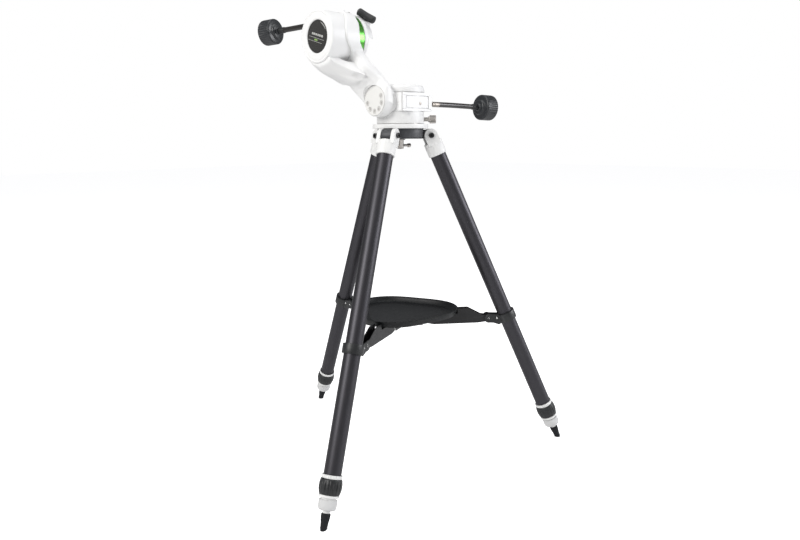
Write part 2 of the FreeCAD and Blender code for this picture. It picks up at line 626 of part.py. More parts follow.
def swing_arm():
    """Casting in the arm's frame: +Z from the pivot to the altitude axis, -Y to the front."""
    boss = cylinder("boss_rad", "boss_front - boss_back", (0, "-boss_back", 0), -Y)
    strap = cylinder("strap_rad", "strap_front - strap_back", (0, "-strap_back", "arm_long"), -Y)
    back_side = padded("YZ_Plane", [("-boss_back", 0), ("-boss_back", 34), (-58, 50), (-68.5, 66), (-72, 84),
                                    (-78, 95), ("-strap_back", 104), ("-strap_back", "arm_long"),
                                    ("-strap_front", "arm_long"), ("-strap_front", 104), (-100, 96),
                                    (-80, 70), ("-boss_front", 40), ("-boss_front", 0)], 110)
    back_front = padded("XZ_Plane", [("-boss_rad", 0), (-31, 16), (-26, 40), (-20, 65), (-20, 88), (-44, 112),
                                     (-51, "arm_long"), (51, "arm_long"), (44, 112), (28, 94), (27, 84),
                                     (29, 64), (28, 50), (29, 36), (34, 14), ("boss_rad", 0)], 260)
    fore_side = padded("YZ_Plane", [("-boss_back", 0), ("-boss_back", 40), (-84, 70), (-112, 86), (-149, 92),
                                    (-149, 85), (-138, 76), (-120, 68), (-105, 60), (-90, 50), (-79, 36),
                                    ("-boss_front", 14), ("-boss_front", 0)], 110)
    fore_front = padded("XZ_Plane", [(-31, 0), (-28, 40), (-32, 74), (-40, 92), (-44, 110), (44, 110),
                                     (40, 92), (32, 74), (28, 40), (31, 0)], 320)
    bore = cylinder("drum_rad", 200, (0, 0, "arm_long"), -Y)
    pivot_bore = cylinder("trunnion_rad + running_fit", 200, (0, 0, 0), -Y)
    recess = cylinder("disc_rad + 0.5", 30, (0, "0.4 + disc_thick - disc_front", 0), -Y)
    worm_boss = moved(cylinder("worm_rad + 3", 30, (-30, "altitude_worm_up", "altitude_worm_at"), -X),
                      swing.inverse() * altitude * front)
    body = fuse(boss, strap, common(back_side, back_front), common(fore_side, fore_front))
    part("swing_arm", cut(body, bore, pivot_bore, recess, worm_boss), swing)


def altitude_turned(name, points):
    part(name, turned(points), altitude * front)


SADDLE_SCREWS = ((-16, 0), (16, 0), (0, -16))
ALTITUDE_WORM = altitude * shift(0, "-altitude_worm_at", "altitude_worm_up") * turn(Y, -90)


def drum():
    """Casing with a bearing hub in its back wall, worm lugs inside and the worm's exit boss."""
    shell = turned([("bearing_rad", "hub_back"), ("bearing_rad + 4", "hub_back"), ("bearing_rad + 4", "drum_back"),
                    ("drum_rad", "drum_back"), ("drum_rad", "drum_front"), ("drum_rad - wall", "drum_front"),
                    ("drum_rad - wall", "drum_back + back_wall"), ("bearing_rad", "drum_back + back_wall")])
    lugs = [box(7.9, 15.4, 18, (x, 26.5, "altitude_worm_at - 9")) for x in (-21.2, 13.3)]
    exit_boss = cylinder("worm_rad + 3", 24, (-30, "altitude_worm_up", "altitude_worm_at"), -X)
    exit_bore = cylinder("worm_rad + bush_wall", 84, (24, "altitude_worm_up", "altitude_worm_at"), -X)
    part("drum_casing", cut(fuse(shell, exit_boss, *lugs), exit_bore), altitude * front)
    altitude_turned("drum_front_ring",
                    [("label_rad", "drum_front - 2"), ("drum_rad - wall", "drum_front - 2"),
                     ("drum_rad - wall", "drum_front"), ("drum_rad", "drum_front"),
                     ("drum_rad", "rim_front - 1.5"), ("drum_rad - 1.5", "rim_front"),
                     ("groove_rad + 0.6", "rim_front"), ("groove_rad + 0.6", "rim_front - 0.9"),
                     ("groove_rad - 0.6", "rim_front - 0.9"), ("groove_rad - 0.6", "rim_front"),
                     ("label_rad", "rim_front")])
    altitude_turned("drum_label", [(0, "drum_front - 2"), ("label_rad", "drum_front - 2"),
                                   ("label_rad", "rim_front - 0.8"), (0, "rim_front - 0.8")])


def altitude_train():
    rad = "spindle_rad"
    altitude_turned("altitude_shaft",
                    [(0, "saddle_back + 2"), (rad, "saddle_back + 2"), (rad, "altitude_worm_at + 22"),
                     (0, "altitude_worm_at + 22")])
    rear = ring(f"{rad} + running_fit", "bearing_rad", "hub_back", "hub_back + 7")
    fore = ring(f"{rad} + running_fit", "bearing_rad", "drum_back + back_wall - 7", "drum_back + back_wall")
    part("altitude_bearings", group(rear, fore), altitude * front)
    disc = ring(rad, 15, "altitude_worm_at + wheel_thick / 2 + 0.3", "altitude_worm_at + wheel_thick / 2 + 3")
    nut = doc.addObject("Part::Prism", "clutch_nut")
    nut.Polygon = 6
    bind(nut, "Circumradius", "spindle_rad + 5")
    bind(nut, "Height", 6)
    placed(nut, (0, 0, "altitude_worm_at + wheel_thick / 2 + 3"), Z)
    nut = cut(nut, cylinder(rad, 40, (0, 0, "altitude_worm_at")))
    part("altitude_clutch_nut", group(disc, nut), altitude * front)
    slip = turned([(rad, "ring_back"), ("ring_rad - 0.8", "ring_back"), ("ring_rad", "ring_back + 0.8"),
                   ("ring_rad", "ring_front - 0.8"), ("ring_rad - 0.8", "ring_front"),
                   ("ring_rad - 5", "ring_front"), ("ring_rad - 5", "ring_web"), (rad, "ring_web")])
    tapped = [cylinder("screw_rad", 7.5, (x, z, "ring_back - 1")) for x, z in SADDLE_SCREWS]
    part("altitude_slip_ring", cut(slip, *tapped), saddle_frame * front)
    worm_wheel("altitude_worm_wheel", "altitude_worm_up", altitude * front * shift(0, 0, "altitude_worm_at"))


def saddle():
    """Dovetail saddle: a round plate, a fixed lower jaw, and an upper jaw drawn down by the knob."""
    plate = cylinder("saddle_rad", "ring_back - saddle_back", (0, "-ring_back", 0), Y)
    rim = cylinder("saddle_rad", "saddle_back - jaw_back", (0, "-saddle_back", 0), Y)
    groove = padded("YZ_Plane", [("-saddle_back - 0.01", "-groove_half - 1.5"),
                                 ("-jaw_back + 1", "-groove_half + 2"), ("-jaw_back + 1", 70),
                                 ("-saddle_back - 0.01", 70)], 110)
    bridge = box(20, "ring_back - jaw_back", 6, (-10, "-ring_back", "saddle_rad - 6.8"))
    screw_hole = cylinder("screw_rad + running_fit", 40, (0, "-(saddle_back + jaw_back) / 2", 20))
    bolt_holes = [cylinder("screw_rad", 30, (x, "-ring_back - 2", z), Y) for x, z in SADDLE_SCREWS]
    sinks = [cylinder("screw_head_rad + 0.2", 30, (x, "-saddle_back - 3.4", z), Y) for x, z in SADDLE_SCREWS]
    whole = cut(fuse(plate, cut(rim, groove), bridge), screw_hole, *bolt_holes, *sinks,
                cylinder("spindle_rad", 30, (0, "-ring_back - 1", 0), Y))
    part("dovetail_saddle", whole, saddle_frame)


def saddle_fittings():
    """The moving jaw, the screw and knob that draw it down, and the three screws of the plate."""
    blank = cylinder("saddle_rad - 7", "saddle_back - jaw_back - 0.6", (0, "-saddle_back + 0.3", 0), Y)
    side = padded("YZ_Plane", [("-saddle_back + 0.2", "jaw_lift + 1.5"), ("-jaw_back - 0.2", "jaw_lift - 2"),
                               ("-jaw_back - 0.2", "jaw_top"), ("-saddle_back + 0.2", "jaw_top")], 76)
    jaw_hole = cylinder("screw_rad + 0.1", 30, (0, "-(saddle_back + jaw_back) / 2", 15))
    part("saddle_jaw", cut(common(blank, side), jaw_hole), saddle_frame)
    middle = "-(saddle_back + jaw_back) / 2"
    stud = cylinder("screw_rad", "knob_foot - jaw_lift + 4", (0, middle, "jaw_lift - 1"))
    foot = cylinder(7, 5, (0, middle, "knob_foot"))
    wing = box(30, 14, 12, (-15, middle + " - 7", "knob_foot + 0.8"))
    ends = [cylinder(7, 12, (x, middle, "knob_foot + 0.8")) for x in (-15, 15)]
    part("saddle_clamp_knob", fuse(stud, foot, wing, *ends), saddle_frame)
    screws = []
    for x, z in SADDLE_SCREWS:
        top = cylinder("screw_head_rad", 3, (x, "-saddle_back - 3.4", z), Y)
        shank = cylinder("screw_rad", 11.6, (x, "-saddle_back - 14", z), Y)
        screws.append(fuse(top, shank))
    part("saddle_screws", group(*screws), saddle_frame)


# ---------------------------------------------------------------- slow motion controls

def flexible_path(tail, bend_deg):
    """Straight lead, one wide arc and a straight tail, in the XZ plane, starting along +Z."""
    lead, radius = value("cable_lead"), value("bend_radius")
    bend = math.radians(bend_deg)

    def on_arc(angle):
        return V(radius * (1 - math.cos(angle)), 0, lead + radius * math.sin(angle))

    last = on_arc(bend)
    end = last + V(math.sin(bend), 0, math.cos(bend)) * tail
    edges = [Part.LineSegment(V(), on_arc(0)).toShape(),
             Part.Arc(on_arc(0), on_arc(bend / 2), last).toShape(),
             Part.LineSegment(last, end).toShape()]
    return Part.Wire(edges), end, bend


def control(name, worm_frame, bend_plane):
    """A worm, its bushes, the ferrule, the flexible shaft and its knob."""
    shaft_end, half_length = value(name + "_shaft_end"), value("worm_half_long")
    worm(name + "_worm", half_length, shaft_end, worm_frame)
    worm_bushes(name + "_worm_bushes", half_length, worm_frame)
    ferrule_start = shaft_end - 10
    ferrule = turned([("worm_shaft_rad", ferrule_start), ("ferrule_rad - 0.6", ferrule_start),
                      ("ferrule_rad", ferrule_start + 0.6), ("ferrule_rad", f"{ferrule_start} + ferrule_long"),
                      (0, f"{ferrule_start} + ferrule_long"), (0, shaft_end), ("worm_shaft_rad", shaft_end)])
    part(name + "_ferrule", ferrule, worm_frame)
    begin = worm_frame * turn(Z, bend_plane) * shift(0, 0, ferrule_start + value("ferrule_long") + 0.1)
    path, end, bend = flexible_path(value(name + "_cable_tail"), value(name + "_bend_deg"))
    circle = Part.Wire([Part.Circle(V(), Z, value("cable_rad")).toShape()])
    shaft = doc.addObject("Part::Feature", "flexible_shaft")
    shaft.Shape = path.makePipeShell([circle], True, True)
    part(name + "_flexible_shaft", shaft, begin)
    knob_place = begin * FreeCAD.Placement(end, FreeCAD.Rotation()) * turn(Y, math.degrees(bend))
    hub, rim = "knob_hub_long", "knob_thick"
    knob = turned([(0, 0.1), ("cable_rad + 2", 0.1), ("cable_rad + 3.5", f"{hub} - 5"),
                   ("knob_hub_rad", f"{hub} - 4"), ("knob_hub_rad + 2", hub), ("knob_rad - 3", hub),
                   ("knob_rad", f"{hub} + 2.5"), ("knob_rad", f"{hub} + {rim} - 3"),
                   ("knob_rad - 3", f"{hub} + {rim}"), (0, f"{hub} + {rim}")])
    rib = cylinder(1.5, f"{rim} + 4", ("knob_rad + 0.6", 0, f"{hub} - 2"))
    part(name + "_knob", cut(knob, *around(rib, 24)), knob_place)


build_steps = [tripod_head, hinge_bolts, centre_bolt, spreader_hub, tray, azimuth_base, azimuth_spindle,
               azimuth_clutch_stack, lock_screw, azimuth_housing, worm_end_plate, azimuth_cap, pivot_disc,
               swing_arm, drum, altitude_train, saddle, saddle_fittings]
for step in build_steps:
    step()
worm_wheel("azimuth_worm_wheel", "azimuth_worm_out", head * shift(0, 0, "azimuth_worm_up"))
control("azimuth", AZIMUTH_WORM, value("droop_deg"))
control("altitude", ALTITUDE_WORM, -90 - value("droop_deg"))
for letter in leg_angles:
    for make in (leg_yoke, leg_tube, leg_collar, twist_nut, inner_leg, rubber_foot, spreader_arm):
        make(letter)

# ---------------------------------------------------------------- check and export

doc.recompute()
failed = [o.Label for o in doc.Objects if "Invalid" in o.State or "Error" in o.State]
if failed:
    raise RuntimeError("failed features: " + ", ".join(failed))
for item in parts:
    if item.Shape.isNull() or not item.Shape.isValid() or not item.Shape.Solids:
        raise RuntimeError("bad shape: " + item.Label)
os.makedirs("parts", exist_ok=True)
for item in parts:
    item.Shape.exportStep(f"parts/{item.Label}.step")
low = V(*[min(getattr(i.Shape.BoundBox, k) for i in parts) for k in ("XMin", "YMin", "ZMin")])
high = V(*[max(getattr(i.Shape.BoundBox, k) for i in parts) for k in ("XMax", "YMax", "ZMax")])
print(len(parts), "sub-parts, box", low, high)
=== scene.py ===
import json
import math
import bmesh
import bpy
from mathutils import Matrix, Vector


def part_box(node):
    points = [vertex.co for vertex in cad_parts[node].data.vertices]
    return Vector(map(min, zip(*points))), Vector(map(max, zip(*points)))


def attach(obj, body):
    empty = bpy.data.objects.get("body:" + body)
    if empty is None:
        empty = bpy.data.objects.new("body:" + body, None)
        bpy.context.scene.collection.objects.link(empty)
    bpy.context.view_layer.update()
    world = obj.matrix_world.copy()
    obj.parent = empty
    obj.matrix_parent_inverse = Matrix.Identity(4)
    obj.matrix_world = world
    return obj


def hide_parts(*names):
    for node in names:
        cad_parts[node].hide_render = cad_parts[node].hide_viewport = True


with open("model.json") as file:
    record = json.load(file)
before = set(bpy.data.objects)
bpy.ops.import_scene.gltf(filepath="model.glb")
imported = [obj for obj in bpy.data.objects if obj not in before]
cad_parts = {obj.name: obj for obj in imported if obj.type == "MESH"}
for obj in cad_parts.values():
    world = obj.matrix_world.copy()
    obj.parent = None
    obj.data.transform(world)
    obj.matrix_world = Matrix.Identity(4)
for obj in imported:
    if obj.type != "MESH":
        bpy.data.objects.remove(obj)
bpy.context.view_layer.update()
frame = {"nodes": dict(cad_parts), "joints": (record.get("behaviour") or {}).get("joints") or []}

MM = 0.001
scene = bpy.context.scene
joints = {j["name"]: j for j in frame["joints"]}

# ------------------------------------------------------------ frames, all in metres


def at(name):
    """Where a joint is."""
    return Vector(joints[name]["pos_m"])


def along(name):
    """A joint's axis, one metre long."""
    return Vector(joints[name]["axis"]).normalized()


def frame_of(origin, z, y=None):
    """A frame with +Z along z; its +Y leans towards y, which is up unless it is given or too close to z."""
    z = z.normalized()
    y = Vector((0, 0, 1)) if y is None else y
    if abs(y.normalized().dot(z)) > 0.99:
        y = Vector((0, 1, 0))
    x = y.cross(z).normalized()
    y = z.cross(x)
    m = Matrix((x, y, z)).transposed().to_4x4()
    m.translation = origin
    return m


def joint_frame(name, back=0.0, y=None):
    """+Z along a joint's axis, from a point so many millimetres behind the joint."""
    return frame_of(at(name) - along(name) * back * MM, along(name), y)


UP, FRONT = Vector((0, 0, 1)), Vector((0, -1, 0))
pivot = at("arm_tilt")
azimuth = at("azimuth_slow")
head_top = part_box("azimuth_base")[0].z
HEAD = Matrix.Translation((azimuth.x, azimuth.y, head_top))
altitude_axis = at("altitude_slow")
# +Z to the front along the altitude axis, heights measured from the azimuth axis
DRUM = frame_of(Vector((altitude_axis.x, azimuth.y, altitude_axis.z)), FRONT, UP)
PIVOT = frame_of(Vector((pivot.x, azimuth.y, pivot.z)), FRONT, UP)
ALTITUDE_WORM = joint_frame("altitude_worm_turn")
AZIMUTH_WORM = joint_frame("azimuth_worm_turn")


def leg_frame(letter):
    """Origin on the leg's hinge, +Z down the leg, +Y along the hinge, +X inwards."""
    return frame_of(at(f"leg_{letter}_fold"), along(f"inner_{letter}_slide"), along(f"leg_{letter}_fold"))


def spoke_frame(letter):
    """Origin on the spreader's outer pin, +X outwards from the azimuth axis."""
    return frame_of(at(f"spreader_{letter}_swing"), UP, along(f"leg_{letter}_fold"))


# ------------------------------------------------------------ materials

MOTTLE_TO_GRAIN = 14
EDGE_STARTS, EDGE_IS_WORN = 0.54, 0.66
RELIEF_DEPTH = 0.2 * MM


def principled(name):
    """A new material, its node tree and its shader."""
    mat = bpy.data.materials.new(name)
    mat.use_nodes = True
    return mat, mat.node_tree, mat.node_tree.nodes["Principled BSDF"]


def surface(name, colour, rough, metal=0.0, grain=900.0, bump=0.04, mottle=0.06, coat=0.0, wear=0.0,
            stretch=(1, 1, 1), turn=None, rough_spread=0.08, specular=0.5):
    """Painted, moulded or machined surface: mottled colour, grain in the bump, uneven gloss, worn edges.

    grain is the scale of the fine noise, and stretch and turn set the direction it is drawn out in.
    """
    mat, tree, bsdf = principled(name)
    new, link = tree.nodes.new, tree.links.new
    coords = new("ShaderNodeTexCoord")
    mapping = new("ShaderNodeMapping")
    if turn is not None:
        mapping.inputs["Rotation"].default_value = turn
    mapping.inputs["Scale"].default_value = stretch
    link(coords.outputs["Object"], mapping.inputs["Vector"])

    def noise(scale, detail):
        """A noise texture in the piece's own coordinates, drawn out by the mapping."""
        n = new("ShaderNodeTexNoise")
        n.inputs["Scale"].default_value = scale
        n.inputs["Detail"].default_value = detail
        link(mapping.outputs["Vector"], n.inputs["Vector"])
        return n

    fine, wide = noise(grain, 3), noise(grain / MOTTLE_TO_GRAIN, 4)
    mix = new("ShaderNodeMix")
    mix.data_type = "RGBA"
    darker = [max(0.0, c * (1 - mottle)) for c in colour]
    lighter = [min(1.0, c * (1 + mottle * 0.6)) for c in colour]
    mix.inputs["A"].default_value = (*darker, 1)
    mix.inputs["B"].default_value = (*lighter, 1)
    link(wide.outputs["Fac"], mix.inputs["Factor"])
    out = mix.outputs["Result"]
    if wear > 0:
        geometry = new("ShaderNodeNewGeometry")
        edge = new("ShaderNodeMapRange")
        edge.inputs["From Min"].default_value = EDGE_STARTS
        edge.inputs["From Max"].default_value = EDGE_IS_WORN
        edge.inputs["To Max"].default_value = wear
        link(geometry.outputs["Pointiness"], edge.inputs["Value"])
        worn = new("ShaderNodeMix")
        worn.data_type = "RGBA"
        bare = [min(1.0, c * 1.6 + 0.06) for c in colour]
        worn.inputs["B"].default_value = (*bare, 1)
        link(edge.outputs["Result"], worn.inputs["Factor"])
        link(out, worn.inputs["A"])
        out = worn.outputs["Result"]
    link(out, bsdf.inputs["Base Color"])
    gloss = new("ShaderNodeMapRange")
    gloss.inputs["To Min"].default_value = max(0.02, rough - rough_spread)
    gloss.inputs["To Max"].default_value = min(1.0, rough + rough_spread)
    link(wide.outputs["Fac"], gloss.inputs["Value"])
    link(gloss.outputs["Result"], bsdf.inputs["Roughness"])
    relief = new("ShaderNodeBump")
    relief.inputs["Strength"].default_value = bump
    relief.inputs["Distance"].default_value = RELIEF_DEPTH
    link(fine.outputs["Fac"], relief.inputs["Height"])
    link(relief.outputs["Normal"], bsdf.inputs["Normal"])
    bsdf.inputs["Metallic"].default_value = metal
    bsdf.inputs["Specular IOR Level"].default_value = specular
    bsdf.inputs["Coat Weight"].default_value = coat
    bsdf.inputs["Coat Roughness"].default_value = 0.2
    return mat


WHITE = surface("white_powder_coat", (0.83, 0.83, 0.825), 0.42, grain=1400, bump=0.10, mottle=0.015,
                wear=0.15)
PLATE = surface("off_white_plate", (0.76, 0.755, 0.735), 0.5, grain=1800, bump=0.08, mottle=0.02)
YOKE = surface("white_yoke_coat", (0.80, 0.80, 0.79), 0.48, grain=1100, bump=0.12, mottle=0.02, wear=0.15)
CASTING = surface("dark_grey_casting", (0.060, 0.062, 0.068), 0.5, metal=0.15, grain=900, bump=0.22,
                  mottle=0.15, wear=0.3)
PLASTIC = surface("black_moulded_plastic", (0.013, 0.014, 0.015), 0.42, grain=1500, bump=0.18, mottle=0.15,
                  wear=0.25)
TRAY = surface("black_tray_plastic", (0.007, 0.008, 0.009), 0.46, grain=1900, bump=0.35, mottle=0.2, wear=0.1,
               specular=0.3)
# black coated steel, also used for the dark bar that paints the shade of the worm box screw's slot
BLACK_STEEL_AND_SLOT_SHADE = surface("black_coated_steel_and_slot_shade", (0.015, 0.015, 0.016), 0.40, metal=0.2, grain=1200, bump=0.12,
                      mottle=0.2, wear=0.5)
GRIP = surface("charcoal_knob", (0.017, 0.019, 0.022), 0.34, grain=1300, bump=0.04, mottle=0.15,
               specular=0.55)
RUBBER = surface("black_rubber", (0.009, 0.010, 0.012), 0.72, grain=1300, bump=0.3, mottle=0.2, specular=0.3)
SHEATH = surface("cable_sheath", (0.015, 0.013, 0.012), 0.36, grain=800, bump=0.2, mottle=0.2, coat=0.2)
STEEL = surface("machined_steel", (0.60, 0.57, 0.54), 0.30, metal=1.0, grain=1600, bump=0.15, mottle=0.10,
                wear=0.2)
ZINC = surface("pale_zinc_screw", (0.70, 0.69, 0.67), 0.42, metal=0.35, grain=1600, bump=0.10, mottle=0.06)
FERRULE = surface("brushed_ferrule", (0.34, 0.31, 0.28), 0.42, metal=1.0, grain=1600, bump=0.15, mottle=0.10)
RIVET = surface("bright_rivet", (0.72, 0.72, 0.71), 0.22, metal=1.0, grain=1600, bump=0.06, mottle=0.06)
BRONZE = surface("turned_bronze", (0.55, 0.36, 0.16), 0.32, metal=1.0, grain=1600, bump=0.15, mottle=0.12)
GREEN = surface("green_anodised", (0.085, 0.36, 0.045), 0.28, metal=0.75, grain=2200, bump=0.10, mottle=0.05,
                coat=0.3)
LABEL = surface("label_gloss_black", (0.030, 0.029, 0.027), 0.24, grain=2500, bump=0.03, mottle=0.1, coat=0.5)
# grey of the label's print, also used for the painted highlight arc near the label's edge
GREY_PRINT_AND_HIGHLIGHT = surface("label_grey_print_and_highlight", (0.45, 0.45, 0.43), 0.5, grain=2500, bump=0.02, mottle=0.05)
PRINT_GREEN = surface("label_green_print", (0.22, 0.36, 0.10), 0.5, grain=2500, bump=0.02, mottle=0.05)
SLEEVE = surface("grey_nylon_sleeve", (0.62, 0.62, 0.62), 0.55, grain=1300, bump=0.12, mottle=0.03)
NECK = surface("white_nylon", (0.80, 0.80, 0.79), 0.5, grain=1300, bump=0.08, mottle=0.02)


def tube_surface(letter):
    """Dark anodised extrusion: faint die lines down the leg."""
    turn = leg_frame(letter).to_3x3().inverted().to_euler()
    return surface(f"anodised_tube_{letter}", (0.063, 0.061, 0.068), 0.46, metal=0.9, grain=1500, bump=0.10,
                   mottle=0.10, stretch=(1, 1, 0.02), turn=turn, rough_spread=0.04)


# ------------------------------------------------------------ building helpers
# Outlines are in millimetres: (radius, height) for a lathe, (x, y) for a prism, in the frame they are put at.


def shade(mesh, sharp=38):
    """Smooth shading, broken at edges that turn by more than so many degrees."""
    mesh.shade_smooth()
    mesh.set_sharp_from_angle(angle=math.radians(sharp))


def mesh_object(name, bm, mat, place=None):
    """An object from a bmesh in millimetres, put at a frame in metres."""
    bmesh.ops.recalc_face_normals(bm, faces=bm.faces)
    bmesh.ops.scale(bm, vec=(MM,) * 3, verts=bm.verts)
    if place is not None:
        bmesh.ops.transform(bm, matrix=place, verts=bm.verts)
    mesh = bpy.data.meshes.new(name)
    bm.to_mesh(mesh)
    bm.free()
    shade(mesh)
    made = bpy.data.objects.new(name, mesh)
    scene.collection.objects.link(made)
    mesh.materials.append(mat)
    return made


def dress(piece, body, hides=()):
    """Lets a piece ride on a body and hides the CAD nodes it stands for."""
    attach(piece, body)
    if hides:
        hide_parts(*hides)


def finish_mesh(name, bm, body, mat, hides=(), place=None):
    """Turns a bmesh in millimetres into a piece that rides on a body."""
    dress(mesh_object(name, bm, mat, place), body, hides)


def soften(points, radius, steps=4):
    """Rounds the corners of an open outline of (radius, height) points, by less on short stretches."""
    out = [Vector(points[0])]
    for before, corner, after in zip(points, points[1:], points[2:]):
        a, c, b = Vector(before), Vector(corner), Vector(after)
        reach = min(radius, (a - c).length * 0.45, (b - c).length * 0.45)
        start, end = c + (a - c).normalized() * reach, c + (b - c).normalized() * reach
        for i in range(steps + 1):
            t = i / steps
            out.append(start * (1 - t) ** 2 + c * 2 * t * (1 - t) + end * t * t)
    out.append(Vector(points[-1]))
    return out


def lathe_into(bm, points, segments=96, radius=0.6, wave=None, closed=True):
    """Turns an outline about +Z, its ends joined if closed; wave(angle, radius, height) moves the wall."""
    outline = soften(points, radius)
    rings = []
    for r, z in outline:
        if r < 1e-6:
            rings.append([bm.verts.new((0, 0, z))])
            continue
        ring = []
        for i in range(segments):
            a = 2 * math.pi * i / segments
            rr = r + (wave(a, r, z) if wave else 0)
            ring.append(bm.verts.new((rr * math.cos(a), rr * math.sin(a), z)))
        rings.append(ring)
    pairs = list(zip(rings, rings[1:]))
    if closed and len(rings[0]) > 1 and len(rings[-1]) > 1:
        pairs.append((rings[-1], rings[0]))
    for low, high in pairs:
        for i in range(segments):
            j = (i + 1) % segments
            loop = [low[i % len(low)], low[j % len(low)], high[j % len(high)], high[i % len(high)]]
            loop = list(dict.fromkeys(loop))
            if len(loop) > 2:
                bm.faces.new(loop)
    return bm


def lathe(name, points, place, body, mat, slot, hides=(), **options):
    """A turned piece; the options go to lathe_into."""
    finish_mesh(name, lathe_into(bmesh.new(), points, **options), body, mat, hides, place)


def prism_into(bm, outline, low, high, bevel=0.8, segments=3):
    """A plate with rounded edges from a closed outline in the XY plane."""
    made = bmesh.new()
    bottom = [made.verts.new((x, y, low)) for x, y in outline]
    top = [made.verts.new((x, y, high)) for x, y in outline]
    made.faces.new(bottom[::-1])
    made.faces.new(top)
    for i in range(len(outline)):
        j = (i + 1) % len(outline)
        made.faces.new((bottom[i], bottom[j], top[j], top[i]))
    if bevel:
        edges = [e for e in made.edges if abs(e.calc_face_angle(0)) > math.radians(25)]
        bmesh.ops.bevel(made, geom=edges, offset=bevel, segments=segments, profile=0.5, affect="EDGES",
                        clamp_overlap=True)
    merge(bm, made)
    return bm


def merge(bm, made):
    """Adds one bmesh to another and frees it."""
    mesh = bpy.data.meshes.new("scratch")
    made.to_mesh(mesh)
    made.free()
    bm.from_mesh(mesh)
    bpy.data.meshes.remove(mesh)


def rectangle(x0, x1, y0, y1):
    """Four corners, anticlockwise."""
    return [(x0, y0), (x1, y0), (x1, y1), (x0, y1)]


def loft_into(bm, loops, ring=False):
    """A closed skin over a row of closed loops; a ring joins its last loop to its first."""
    rows = [[bm.verts.new(p) for p in loop] for loop in loops]
    count = len(rows[0])
    onwards = rows[1:] + rows[:1] if ring else rows[1:]
    for low, high in zip(rows, onwards):
        for i in range(count):
            j = (i + 1) % count
            bm.faces.new((low[i], low[j], high[j], high[i]))
    if not ring:
        bm.faces.new(rows[0][::-1])
        bm.faces.new(rows[-1])
    return bm


def oval(centre, e1, e2, a, b, power=2.6, count=40):
    """A rounded-box section: half sizes a along e1 and b along e2."""
    loop = []
    for i in range(count):
        t = 2 * math.pi * i / count
        c, s = math.cos(t), math.sin(t)
        loop.append(centre + e1 * (a * math.copysign(abs(c) ** (2 / power), c))
                    + e2 * (b * math.copysign(abs(s) ** (2 / power), s)))
    return loop


def evenly(start, end, steps):
    """Values from start to end, both included."""
    return [start + (end - start) * i / steps for i in range(steps + 1)]


def between(rows, x):
    """Straight-line values between rows of (x, value, value...)."""
    if x <= rows[0][0]:
        return rows[0][1:]
    for low, high in zip(rows, rows[1:]):
        if x <= high[0]:
            t = (x - low[0]) / (high[0] - low[0])
            return tuple(a + (b - a) * t for a, b in zip(low[1:], high[1:]))
    return rows[-1][1:]


def applied(piece):
    """Bakes a piece's modifiers into its mesh."""
    graph = bpy.context.evaluated_depsgraph_get()
    graph.update()
    mesh = bpy.data.meshes.new_from_object(piece.evaluated_get(graph))
    piece.modifiers.clear()
    old, piece.data = piece.data, mesh
    bpy.data.meshes.remove(old)


def bored(piece, *cutters):
    """Cuts the cutters out of a piece and removes them."""
    for cutter in cutters:
        change = piece.modifiers.new("bore", "BOOLEAN")
        change.operation = "DIFFERENCE"
        change.solver = "EXACT"
        change.object = cutter
    applied(piece)
    for cutter in cutters:
        bpy.data.objects.remove(cutter)


def plug(radius, low, high, place):
    """A plain cylinder used only to cut with."""
    outline = [(0, low), (radius, low), (radius, high), (0, high)]
    return mesh_object("cutter", lathe_into(bmesh.new(), outline, segments=128, radius=0.0001), WHITE, place)


def eased(node, width):
    """Small radii on a CAD node's edges, after its flat facets are joined."""
    piece = frame["nodes"][node]
    weld = piece.modifiers.new("weld", "WELD")
    weld.merge_threshold = 0.01 * MM
    flat = piece.modifiers.new("flat", "DECIMATE")
    flat.decimate_type = "DISSOLVE"
    flat.angle_limit = math.radians(1)
    ease = piece.modifiers.new("ease", "BEVEL")
    ease.width = width * MM
    ease.segments = 2
    ease.limit_method = "ANGLE"
    ease.angle_limit = math.radians(32)
    ease.harden_normals = False


def paint(mat, *nodes):
    """Gives CAD nodes that stay visible their material."""
    for node in nodes:
        data = frame["nodes"][node].data
        data.materials.clear()
        data.materials.append(mat)


# ------------------------------------------------------------ CAD nodes that show as they are

paint(CASTING, "tripod_head")
paint(BLACK_STEEL_AND_SLOT_SHADE, "leg_hinge_bolts", "spreader_hub")
paint(STEEL, "centre_bolt", "centre_bolt_bar", "azimuth_spindle", "azimuth_clutch_stack", "altitude_shaft",
      "altitude_clutch_nut", "azimuth_worm", "altitude_worm", "saddle_screws")
paint(ZINC, "pivot_screws")
paint(BRONZE, "altitude_bearings", "azimuth_worm_bushes", "altitude_worm_bushes", "azimuth_worm_wheel",
      "altitude_worm_wheel")
paint(WHITE, "dovetail_saddle", "saddle_jaw", "worm_end_plate")
paint(PLATE, "pivot_clamp_disc")
paint(SHEATH, "azimuth_flexible_shaft", "altitude_flexible_shaft")
for letter in "abc":
    paint(YOKE, "leg_yoke_" + letter)
    paint(tube_surface(letter), "leg_tube_" + letter)
    paint(PLASTIC, "leg_collar_" + letter)
    paint(BLACK_STEEL_AND_SLOT_SHADE, "spreader_arm_" + letter)

# ------------------------------------------------------------ azimuth unit

WORM_BOX = frame_of(HEAD.translation, Vector((1, 0, 0)), UP)
SET_SCREW = WORM_BOX @ Matrix.Translation(Vector((10, 47.5, 0)) * MM)
SLOT_TURN = Matrix.Rotation(math.radians(58), 4, "Z")


def azimuth_body():
    """The flange that stays with the base, and the round casting that turns above it."""
    lathe("azimuth_flange", [(8, 0), (55.75, 0), (55.75, 8.5), (8, 8.5)], HEAD, "base", WHITE, "white_coat",
          ["azimuth_base"], radius=1.0)
    lathe("azimuth_casting", [(8.1, 9.6), (47, 9.6), (47, 31.6), (45.5, 33), (45.5, 69.2), (8.1, 69.2)], HEAD,
          "azimuth_unit", WHITE, "white_coat", ["azimuth_housing"], radius=0.8)


